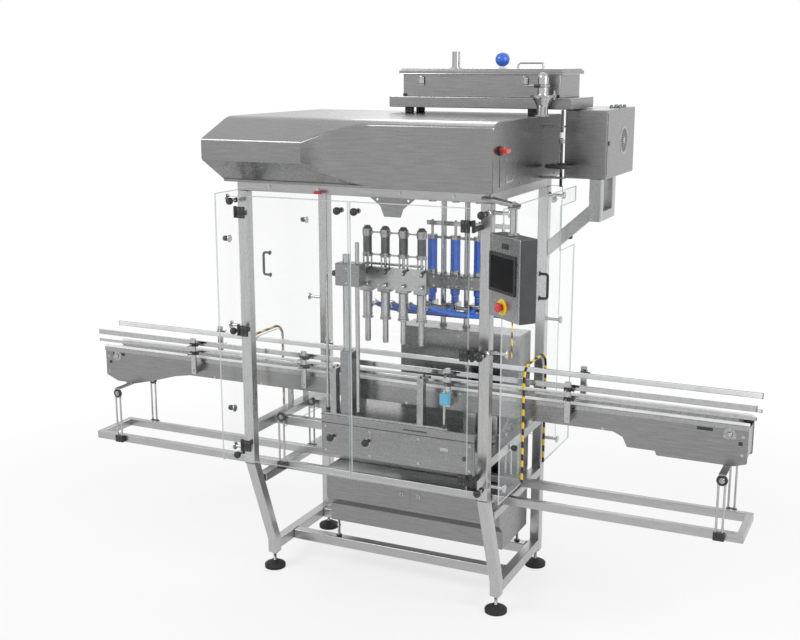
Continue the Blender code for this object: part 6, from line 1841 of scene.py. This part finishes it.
@dataclass
class Nozzles:
    """Lift column, carriage, nozzles, shut-off rods and their air cylinders."""

    xs: tuple[float, ...] = NOZZLE_XS
    y: float = NOZZLE_Y
    tip_z: float = 1.195
    flange_z: float = 1.310
    body_z: float = 1.445
    block_z: float = 1.560
    air_z: float = 1.610
    air_top_z: float = 1.745
    inlet_z: float = INLET_Z
    lift: tuple[float, float] = (-0.160, -0.255)

    def column(self) -> None:
        """Build the guide columns on the table."""
        form = Form("lift_posts", "machine", "lift_column")
        x, y, base = self.lift[0], self.lift[1], TABLE_Z
        form.block((x - 0.032, y - 0.030, base), (x + 0.028, y + 0.032, 1.180), SHEET_STEEL, 0.003)
        form.block((-0.287, y - 0.0015, base), (-0.094, y + 0.020, base + 0.010), SATIN_STEEL,
                   0.0015)
        posts = ((x - 0.008, y, 1.178, 1.640, 0.019), (-0.108, y - 0.010, base, 1.700, 0.010),
                 (-0.275, y, base, 1.530, 0.007))
        for px, py, low, high, radius in posts:
            form.turned([(0.0, low), (radius, low), (radius, high - 0.002), (radius - 0.002, high),
                         (0.0, high)], (px, py, 0), UP, BRIGHT_STEEL, 36)
        form.turned([(0.0192, 0.0), (0.024, 0.0), (0.0245, 0.001), (0.0245, 0.010),
                     (0.0192, 0.010)],
                    (x - 0.008, y, 1.180), UP, SATIN_STEEL, 36, True)
        for px, py, radius in ((-0.108, y - 0.010, 0.015), (-0.275, y, 0.012)):
            form.rod((px, py, base + 0.008), (px, py, base + 0.022), radius, BLACK)
        form.hexagon((-0.275, y, 1.530), UP, 0.011, 0.008, SATIN_STEEL)
        form.piece()

    def carriage(self) -> None:
        """Build the head on the columns, the bar, the nozzle blocks, knobs and levers."""
        form = Form("carriage_head", "carriage", "nozzle_carriage")
        x, y = self.lift
        bar_y = self.y - 0.034
        plan = rectangle((-0.212, y - 0.036), (-0.086, y + 0.040), 0.006)
        holes = [ring((x - 0.008, y), 0.0194, 40), ring((-0.108, y - 0.010), 0.0104, 28)]
        form.plate([plan] + holes, 0.105, facing_up(self.body_z + 0.1025), SHEET_STEEL, 0.002)
        form.block((-0.200, y + 0.038, self.body_z + 0.065), (-0.160, bar_y + 0.004, self.block_z),
                   SHEET_STEEL, 0.003)
        form.block((-0.200, bar_y, self.body_z + 0.017),
                   (self.xs[-1] + 0.036, bar_y + 0.010, self.block_z + 0.006),
                   BEAM_STEEL, 0.002)
        for dz in (0.065, 0.135):
            form.rod((-0.150, y - 0.0355, self.body_z + dz), (-0.150, y - 0.041, self.body_z + dz),
                     0.006, BRIGHT_STEEL)
        form.turned([(0.0, 0.0), (0.007, 0.0), (0.007, 0.012), (0.013, 0.014), (0.014, 0.017),
                     (0.014, 0.026), (0.012, 0.029), (0.0, 0.029)],
                    (-0.2115, y, self.body_z + 0.10), LEFT, BLACK, 28)
        front, rear = bar_y + 0.008, self.y + 0.026
        for at in self.xs:
            shape = rounded([(at - 0.032, front, 0), (at + 0.032, front, 0), (at + 0.032, rear, 0),
                             (at + 0.022, rear, 0), (at - 0.022, rear, 0), (at - 0.032, rear, 0)],
                            0.006, True, 3)
            form.plate([shape, ring((at, self.y), 0.010, 32)], self.block_z - self.body_z,
                       facing_up((self.body_z + self.block_z) / 2), SATIN_STEEL, 0.002)
            knob = self.body_z + 0.037
            form.rod((at + 0.016, bar_y + 0.001, knob), (at + 0.016, bar_y - 0.012, knob), 0.005,
                     BRIGHT_STEEL)
            form.turned([(0.0, 0.0), (0.008, 0.0), (0.010, 0.002), (0.010, 0.009), (0.008, 0.0115),
                         (0.0, 0.0115)], (at + 0.016, bar_y - 0.0105, knob), FRONT, BRIGHT_STEEL,
                        28)
            foot = self.block_z - 0.028
            lever = [(at + 0.004, foot + 0.004, 0), (at + 0.020, foot, 0),
                     (at + 0.026, foot + 0.016, 0), (at + 0.044, foot + 0.028, 0),
                     (at + 0.040, foot + 0.038, 0), (at + 0.014, foot + 0.026, 0)]
            form.plate([rounded(lever, 0.003, True, 3)], 0.008, facing_front(bar_y - 0.0035), BLACK,
                       0.0012)
            form.turned([(0.0, 0.0), (0.0055, 0.0), (0.006, 0.001), (0.006, 0.003), (0.0, 0.003)],
                        (at + 0.014, bar_y - 0.007, foot + 0.012), FRONT, BRIGHT_STEEL, 20)
        form.piece()
        places = [((at + dx, bar_y - 0.0002, self.block_z - 0.014 - dz), FRONT) for at in self.xs
                  for dx, dz in ((-0.022, 0.0), (-0.022, 0.066))]
        HEADS.set("block_screws", "carriage", places, BRIGHT_STEEL, 0.0042, 0.004, 20)

    def nozzle(self, number: int, x: float) -> None:
        """Build one bored nozzle with its inlet."""
        form = Form(f"filling_nozzle_{number}", "carriage", f"nozzle_{number}")
        top, tip, flange = self.body_z - 0.0003, self.tip_z, self.flange_z
        shell = [(0.0205, top), (0.023, top - 0.003), (0.023, flange + 0.024),
                 (0.0245, flange + 0.023), (0.0245, flange + 0.019), (0.023, flange + 0.018),
                 (0.023, flange + 0.011), (0.0262, flange + 0.010), (0.027, flange + 0.009),
                 (0.027, flange + 0.001), (0.0262, flange), (0.0155, flange - 0.003),
                 (0.014, flange - 0.006), (0.014, tip + 0.030), (0.0145, tip + 0.029),
                 (0.0145, tip + 0.022), (0.014, tip + 0.021), (0.014, tip + 0.005), (0.0120, tip),
                 (0.0090, tip), (0.0100, tip + 0.004), (0.0100, top)]
        form.turned(shell, (x, self.y, 0), UP, BRIGHT_STEEL, 40, True)
        inlet = [(0.0, 0.0), (0.0145, 0.0), (0.0145, 0.012), (0.017, 0.0135), (0.017, 0.031),
                 (0.0150, 0.033), (0.0150, 0.051), (0.017, 0.0515), (0.017, 0.0538), (0.0, 0.054)]
        form.turned(inlet, (x, self.y + 0.018, self.inlet_z), BACK, BRIGHT_STEEL, 32)
        form.piece()

    def air(self) -> None:
        """Build the shut-off air cylinders with their ports, and the rods they lift."""
        form = Form("air_set", "carriage", "nozzle_cylinders")
        low, top = self.air_z, self.air_top_z
        for x in self.xs:
            barrel = [(0.0, top + 0.012), (0.0125, top + 0.012), (0.0140, top + 0.0105),
                      (0.0190, top + 0.002), (0.0235, top - 0.003), (0.024, top - 0.005),
                      (0.024, top - 0.035), (0.0235, top - 0.0362), (0.0205, top - 0.037),
                      (0.0205, low + 0.019), (0.0235, low + 0.018), (0.024, low + 0.017),
                      (0.024, low + 0.001), (0.0235, low), (0.0071, low), (0.0071, low + 0.050),
                      (0.0, low + 0.050)][::-1]
            form.turned(barrel, (x, self.y, 0), UP, SATIN_STEEL, 40)
            form.turned([(0.0207, low + 0.021), (0.0212, low + 0.022), (0.0212, top - 0.040),
                         (0.0207, top - 0.039)],
                        (x, self.y, 0), UP, DARK_STEEL, 40, True)
            for reach in (-0.014, 0.014):
                form.rod((x + reach, self.y + reach, self.block_z + 0.0003),
                         (x + reach, self.y + reach, low + 0.002), 0.004, BRIGHT_STEEL, 20)
            form.hexagon((x, self.y, top + 0.0080), UP, 0.014, 0.005, BRIGHT_STEEL)
            for z in (low + 0.009, top - 0.018):
                form.rod((x, self.y - 0.022, z), (x, self.y - 0.031, z), 0.0045, BRIGHT_STEEL, 20)
        for left, right in zip(self.xs, self.xs[1:]):
            for z in (low + 0.009, top - 0.020):
                form.rod((left + 0.022, self.y, z), (right - 0.022, self.y, z), 0.004, BRIGHT_STEEL,
                         20)
                form.hexagon((left + 0.0235, self.y, z), RIGHT, 0.012, 0.006, BRIGHT_STEEL)
                form.hexagon((right - 0.0295, self.y, z), RIGHT, 0.012, 0.006, BRIGHT_STEEL)
        form.piece()
        form = Form("shutoff_set", "shutoff", "shutoff_rods")
        form.block((self.xs[0] - 0.010, self.y - 0.006, self.block_z + 0.010),
                   (self.xs[-1] + 0.010, self.y + 0.006, self.block_z + 0.022), SATIN_STEEL, 0.002)
        for x in self.xs:
            top = low + 0.030
            form.turned([(0.0, self.tip_z + 0.003), (0.004, self.tip_z + 0.003),
                         (0.0065, self.tip_z + 0.016), (0.0065, top - 0.001), (0.0055, top),
                         (0.0, top)], (x, self.y, 0), UP,
                        BRIGHT_STEEL, 28)
        form.piece()

    def build(self) -> None:
        """Build the whole filling head."""
        self.column()
        self.carriage()
        for number, x in enumerate(self.xs, 1):
            self.nozzle(number, x)
        self.air()


@dataclass
class LaneFittings:
    """Stop gates in their air cylinders and the lane sensor, on one table bar."""

    front_y: float = -0.2985
    base_z: float = TABLE_Z
    gate_z: float = 1.0815
    sensor_x: float = 0.345

    def build(self) -> None:
        """Build the fittings and both gates."""
        form = Form("fittings_bar", "machine", "table_fittings")
        y, base, z = self.front_y, self.base_z, self.gate_z
        form.block((-0.280, y, base), (self.sensor_x + 0.018, y + 0.012, base + 0.010), SATIN_STEEL,
                   0.0015)
        form.rod((self.sensor_x, y + 0.006, base + 0.008), (self.sensor_x, y + 0.006, 1.060), 0.006,
                 BRIGHT_STEEL)
        form.rod((self.sensor_x, y + 0.006, base + 0.009), (self.sensor_x, y + 0.006, base + 0.026),
                 0.0125, BLACK)
        form.block((self.sensor_x - 0.020, y - 0.006, 0.985),
                   (self.sensor_x + 0.020, y + 0.034, 1.040),
                   SKY, 0.004, 3)
        form.turned([(0.0, 0.0), (0.0085, 0.0), (0.0085, 0.002), (0.006, 0.0025), (0.0, 0.0015)],
                    (self.sensor_x, y + 0.0335, 1.012), BACK, SCREEN, 28)
        rear = y + 0.064
        for node, body, x in (("infeed_gate", "infeed_stop", -0.225),
                              ("outfeed_gate", "outfeed_stop", 0.225)):
            form.block((x - 0.016, y + 0.002, base), (x + 0.016, y + 0.040, z - 0.0135),
                       SATIN_STEEL, 0.002)
            face = rectangle((x - 0.017, z - 0.0155), (x + 0.017, z + 0.0155), 0.004, 3)
            form.plate([face, ring((x, z), 0.0064, 24)], rear - y - 0.002,
                       facing_front((y + 0.002 + rear) / 2), SATIN_STEEL, 0.001)
            for at in (y + 0.014, rear - 0.012):
                form.rod((x, at, z + 0.015), (x, at, z + 0.022), 0.0045, BLACK, 20)
            form.block((x - 0.0175, y + 0.020, z - 0.030), (x + 0.0175, y + 0.034, z - 0.018),
                       BLACK, 0.0015)
            gate = Form(f"{node}_pad", body, node)
            gate.rod((x, y + 0.006, z), (x, rear + 0.031, z), 0.006, BRIGHT_STEEL, 28)
            gate.block((x - 0.014, rear + 0.030, z - 0.006), (x + 0.014, rear + 0.036, z + 0.006),
                       BLACK, 0.0015)
            gate.hexagon((x, rear + 0.0255, z), BACK, 0.011, 0.005, BRIGHT_STEEL)
            gate.piece()
        form.piece()


@dataclass
class Guards:
    """Clear side guards, front doors and rear sheet with their handles and hinges."""

    side_x: float = 0.700
    front_y: float = -0.530
    rear_y: float = 0.490
    low_z: float = 0.645
    top_z: float = 1.925
    slot: tuple[float, float, float] = (-0.235, 0.045, 1.180)
    corner: float = 0.060
    door_y: float = DOOR_Y
    hinge_x: float = HINGE_X
    hinge_zs: tuple[float, ...] = HINGE_ZS

    def outline(self, notched: bool) -> list[Vector]:
        """Sheet outline with the conveyor slot; a notched one also clears the box bracket."""
        front, rear, top = self.slot
        bend = self.corner
        def corner(y: float, z: float, begin: float, turn: float) -> list[tuple[float, float]]:
            return [(y + bend * math.cos(math.radians(begin + turn * i / 10)),
                     z + bend * math.sin(math.radians(begin + turn * i / 10))) for i in range(11)]
        points = [(self.front_y, self.low_z), (front, self.low_z)]
        points += corner(front + bend, top - bend, 180, -90) + corner(rear - bend, top - bend, 90,
                                                                      -90)
        points += [(rear, self.low_z), (self.rear_y, self.low_z)]
        if notched:
            points += [(self.rear_y, 1.640), (0.257, 1.640), (0.257, 1.850), (self.rear_y, 1.850)]
        points += [(self.rear_y, self.top_z), (self.front_y, self.top_z)]
        return [Vector((*point, 0)) for point in points]

    def sheet(self, form: Form, edge: list[Vector], place: Matrix) -> None:
        """Add a clear sheet with its duller cut edge."""
        inner = inset(edge, 0.0035)
        form.plate([inset(edge, 0.0037)], 0.006, place, CLEAR_SHEET, 0.0002)
        form.plate([edge, inner], 0.006, place, CLEAR_EDGE, 0.0006)

    def arch(self, x: float) -> list[Vector]:
        """Path of the striped tube round the conveyor slot."""
        front, rear, top = self.slot[0] - 0.014, self.slot[1] + 0.014, self.slot[2] + 0.014
        path = [(x, front, self.low_z + 0.010), (x, front, top), (x, rear, top),
                (x, rear, self.low_z + 0.010)]
        return rounded(path, self.corner + 0.014, False, 12)

    def side(self, name: str, sign: int) -> None:
        """Build one side guard with its tube, grip and screws."""
        form = Form(f"guard_sheet_{name}", f"{name}_guard", f"side_guard_{name}")
        self.sheet(form, self.outline(sign > 0), facing_side(sign * self.side_x))
        face = self.side_x + 0.0025
        form.pipe(self.arch(sign * (face + 0.006)), 0.006, TAPE, 5)
        out = face + 0.040
        path = [(face, 1.468), (out, 1.468), (out, 1.580), (face, 1.580)]
        form.pipe(rounded([(sign * x, -0.052, z) for x, z in path], 0.013, False, 6), 0.0062, BLACK,
                  5)
        for z in (1.468, 1.580):
            form.cap((0.011, 0.004, 0.008, 0.006), (sign * (face + 0.0002), -0.052, z),
                     (sign, 0, 0), BLACK, 24)
        if sign > 0:
            form.block((face, -0.4130, 1.270), (face + 0.0012, -0.3970, 1.447), TAPE, 0.0004)
        for y in (-0.411, 0.325):
            for z in (0.870, 1.700):
                form.turned([(0.0, 0.0), (0.017, 0.0), (0.018, 0.001), (0.018, 0.004),
                             (0.0165, 0.005),
                             (0.0, 0.005)], (sign * face, y, z), (sign, 0, 0), BRIGHT_STEEL, 32)
                star_knob(form, (sign * (face + 0.004), y, z), (sign, 0, 0), 0.013)
        form.piece()

    def door(self, name: str, sign: int) -> None:
        """Build one front door with its hinge leaves and knobs."""
        form = Form(f"door_sheet_{name}", f"{name}_door", f"front_door_{name}")
        outer = self.hinge_x - 0.016
        left, right = sorted((sign * 0.003, sign * outer))
        self.sheet(form, rectangle((left, 0.668), (right, self.top_z), 0.004),
                   facing_front(self.door_y))
        for z in self.hinge_zs:
            form.block(*mirrored(sign, (outer - 0.038, self.door_y - 0.0130, z - 0.026),
                                 (outer + 0.002, self.door_y - 0.0032, z + 0.026)), BLACK, 0.003, 3)
            form.block(*mirrored(sign, (outer - 0.002, self.door_y - 0.005, z + 0.003),
                                 (self.hinge_x - 0.002, self.door_y + 0.002, z + 0.024)), BLACK,
                       0.001)
            form.rod((sign * self.hinge_x, self.door_y, z + 0.0003),
                     (sign * self.hinge_x, self.door_y, z + 0.026),
                     0.008, BLACK, 28)
        for x, z in ((0.041, 1.884), (0.088, 0.856)):
            at = sign * x
            form.rod((at, self.door_y + 0.013, z), (at, self.door_y + 0.0025, z), 0.012,
                     BRIGHT_STEEL)
            form.rod((at, self.door_y - 0.002, z), (at, self.door_y - 0.022, z), 0.008, BLACK)
            form.cap((0.013, 0.003, 0.008, 0.004), (at, self.door_y - 0.0030, z), FRONT,
                     BRIGHT_STEEL, 28)
            form.ball((at, self.door_y - 0.034, z), 0.017, BLACK)
        form.piece()
        places = [((sign * (outer - dx), self.door_y - 0.0128, z + dz), FRONT)
                  for z in self.hinge_zs
                  for dx in (0.010, 0.028) for dz in (-0.016, 0.016)]
        HEADS.set(f"hinge_screws_{name}", f"{name}_door", places, DARK_STEEL, 0.0035, 0.003, 16)

    def build(self) -> None:
        """Build every guard."""
        for name, sign in SIDES:
            self.side(name, sign)
            self.door(name, sign)
        form = Form("rear_sheet", "machine", "rear_guard")
        self.sheet(form, rectangle((-0.640, self.low_z), (0.640, self.top_z), 0.006),
                   facing_front(self.rear_y - 0.020))
        for _, sign in SIDES:
            for z in REAR_LEVELS:
                form.turned([(0.0, 0.0), (0.016, 0.0), (0.017, 0.001), (0.017, 0.003),
                             (0.0, 0.0042)],
                            (sign * POST_X, self.rear_y - 0.0172, z), BACK, BRIGHT_STEEL, 28)
        form.piece()


@dataclass
class Panel:
    """Swivelling operator panel on its arm, with its screen and stop button."""

    centre: tuple[float, float, float] = (0.789, -0.660, 1.669)
    size: tuple[float, float, float] = (0.230, 0.338, 0.080)
    turn: float = math.radians(38.0)

    def place(self) -> Matrix:
        """Matrix of the panel: u along its face, v up, w out of its face."""
        along = (math.cos(self.turn), -math.sin(self.turn), 0)
        return drawn(along, UP, self.centre)

    def case(self) -> None:
        """Build the case, screen and stop plate."""
        form = Form("panel_case", "operator_panel", "panel_box")
        place = self.place()
        wide, tall, deep = (value / 2 for value in self.size)
        form.block((-wide, -tall, -deep), (wide, tall, deep - 0.004), PANEL_GREY, 0.004, 3, place)
        edge = wide - 0.003
        face = rectangle((-edge, -tall + 0.002), (edge, tall - 0.002), 0.004, 3)
        well = ring((-0.010, -0.118), 0.0130, 40)
        form.plate([face, well], 0.005, place @ Matrix.Translation((0, 0, deep - 0.0025)),
                   FRAME_STEEL, 0.0008)
        bezel = rectangle((-wide + 0.006, -0.062), (wide - 0.028, 0.098), 0.005)
        form.plate([bezel], 0.0048, place @ Matrix.Translation((0, 0, deep + 0.0023)), BLACK, 0.001)
        glass = rectangle((-wide + 0.019, -0.048), (wide - 0.041, 0.084), 0.002)
        form.plate([glass], 0.0008, place @ Matrix.Translation((0, 0, deep + 0.0048)), SCREEN,
                   0.0002)
        form.block((-0.020, 0.118, deep - 0.0005), (0.030, 0.140, deep + 0.0012), BLACK, 0.0006, 2,
                   place)
        stop = place @ Matrix.Translation((-0.010, -0.118, deep))
        ring_face = [ring((0, 0), 0.034, 48), ring((0, 0), 0.0130, 40)]
        form.plate(ring_face, 0.003, stop @ Matrix.Translation((0, 0, 0.0013)), YELLOW, 0.0006)
        form.piece()
        form = Form("stop_cap_set", "stop_cap", "stop_button")
        origin, out = stop.translation, stop.to_3x3() @ Vector(UP)
        profile = [(0.0, -0.010), (0.0112, -0.010), (0.0115, -0.009), (0.0115, 0.0118),
                   (0.0155, 0.0125), (0.0190, 0.0145), (0.020, 0.0165), (0.0198, 0.0205),
                   (0.0180, 0.0248), (0.0140, 0.0280), (0.0075, 0.0296), (0.0, 0.030)]
        form.turned(profile, origin, out, RED, 48)
        form.piece()
        corners = [(u, v) for u in (-wide + 0.010, wide - 0.012)
                   for v in (-tall + 0.012, tall - 0.012)]
        places = [(place @ Vector((u, v, deep - 0.0012)), out) for u, v in corners]
        HEADS.set("panel_screws", "operator_panel", places, BRIGHT_STEEL, 0.0035, 0.003, 16)

    def arm(self) -> None:
        """Build the flat arm and the tube that the panel hangs on."""
        form = Form("panel_support", "machine", "panel_arm")
        start, goal = Vector((0.587, -0.4613)), Vector(self.centre[:2])
        along = (goal - start).normalized()
        across = Vector((-along.y, along.x)) * 0.019
        end = goal + along * 0.024
        plan = [start, Vector((start.x + 0.040, start.y)), end + across, end - across,
                Vector((start.x, start.y - 0.030))]
        form.plate([[Vector((*point, 0)) for point in plan]], 0.014, facing_up(1.959), SATIN_STEEL,
                   0.002)
        form.rod((*goal, 1.8383), (*goal, 1.955), 0.015, BRIGHT_STEEL, 32)
        for z in (1.8385, 1.944):
            form.turned([(0.0151, 0.0), (0.024, 0.0), (0.025, 0.001), (0.025, 0.007),
                         (0.0235, 0.008), (0.0151, 0.008)], (*goal, z), UP, SATIN_STEEL, 36, True)
        form.hexagon((*goal, 1.966), UP, 0.018, 0.007, BRIGHT_STEEL)
        form.piece()

    def build(self) -> None:
        """Build the panel and its arm."""
        self.case()
        self.arm()


ASSEMBLIES: list[Any] = [
    Skeleton(), Hood(), Hopper(), ControlBox(), Conveyor(), Guides(), Support(), Housings(),
    Dosing(), Nozzles(), LaneFittings(), Guards(), Panel()]


# The studio

@dataclass
class Studio:
    """Floor, soft lamps, white world, black flags and the camera in front at the right."""

    camera_place: tuple[float, float, float] = (2.316, -5.008, 2.509)
    camera_turn: tuple[float, float, float] = (77.55, 0.0, 24.94)
    lens: float = 52.56
    world_tone: float = 0.62
    lamps: tuple[tuple[str, tuple[float, float, float], float, float], ...] = (
        ("key_lamp", (-2.6, -3.4, 4.6), 95.0, 2.6),
        ("side_lamp", (4.4, -1.4, 3.4), 85.0, 2.2),
        ("rear_lamp", (-1.0, 3.6, 4.4), 50.0, 2.6),
    )
    flags: tuple[tuple[str, tuple[float, float, float], float, float], ...] = (
        ("right_flag", (6.2, -1.9, 1.6), 1.9, 3.4),
        ("left_flag", (-6.2, -0.6, 1.6), 2.2, 3.4),
    )

    def flag(self, name: str, place: tuple[float, float, float], width: float,
             height: float) -> None:
        """Stand up a black studio flag that only gives round metal its dark edges.

        Args:
            name: the flag's name.
            place: its middle; it faces the machine's axis.
            width: its width in metres.
            height: its height in metres.
        """
        x, y, z = place
        side = Vector((-y, x, 0.0)).normalized() * (width / 2)
        low, high = Vector((x, y, z - height / 2)), Vector((x, y, z + height / 2))
        mesh = bpy.data.meshes.new(name)
        mesh.from_pydata([low - side, low + side, high + side, high - side], [], [(0, 1, 2, 3)])
        mesh.materials.append(RUBBER.material())
        made = linked(name, mesh)
        made.visible_camera = made.visible_diffuse = made.visible_shadow = False
        made.visible_transmission = False

    def world(self) -> None:
        """White for what the camera, metal and glass see, and a softer tone for the rest."""
        world = bpy.data.worlds.new("studio")
        bpy.context.scene.world = world
        world.use_nodes = True
        nodes, links = world.node_tree.nodes, world.node_tree.links
        nodes.clear()
        rays = nodes.new("ShaderNodeLightPath")
        total = rays.outputs["Is Camera Ray"]
        for kind in ("Is Glossy Ray", "Is Transmission Ray"):
            more = nodes.new("ShaderNodeMath")
            more.operation = "MAXIMUM"
            links.new(total, more.inputs[0])
            links.new(rays.outputs[kind], more.inputs[1])
            total = more.outputs[0]
        mixed = nodes.new("ShaderNodeMix")
        mixed.data_type = "RGBA"
        mixed.inputs[6].default_value = grey(self.world_tone)
        mixed.inputs[7].default_value = grey(1.0)
        links.new(total, mixed.inputs[0])
        back = nodes.new("ShaderNodeBackground")
        links.new(mixed.outputs[2], back.inputs["Color"])
        out = nodes.new("ShaderNodeOutputWorld")
        links.new(back.outputs[0], out.inputs["Surface"])

    def floor(self) -> None:
        """Large pale disc under the feet."""
        disc = bmesh.new()
        bmesh.ops.create_circle(disc, cap_ends=True, segments=96, radius=40.0)
        mesh = bpy.data.meshes.new("floor")
        disc.to_mesh(mesh)
        disc.free()
        mesh.materials.append(Floor().material())
        linked("floor", mesh)

    def build(self) -> None:
        """Set the stage, the lamps and the camera."""
        scene = bpy.context.scene
        scene.view_settings.view_transform = "Standard"
        self.world()
        self.floor()
        for flag in self.flags:
            self.flag(*flag)
        middle = Vector((0.0, 0.0, 1.2))
        for name, place, power, size in self.lamps:
            data = bpy.data.lights.new(name, "AREA")
            data.energy, data.shape, data.size = power, "DISK", size
            lamp = linked(name, data)
            lamp.location = place
            lamp.rotation_euler = (middle - Vector(place)).to_track_quat("-Z", "Y").to_euler()
        data = bpy.data.cameras.new("camera")
        data.lens, data.sensor_width = self.lens, 36.0
        camera = linked("camera", data)
        camera.location = self.camera_place
        camera.rotation_euler = [math.radians(part) for part in self.camera_turn]
        scene.camera = camera


def main() -> None:
    """Build the studio and every sub-assembly in order."""
    logging.basicConfig(level=logging.INFO, format="%(message)s")
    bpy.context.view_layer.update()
    Studio().build()
    for assembly in ASSEMBLIES:
        LOG.info("building %s", type(assembly).__name__)
        assembly.build()


if __name__ == "__main__":
    main()
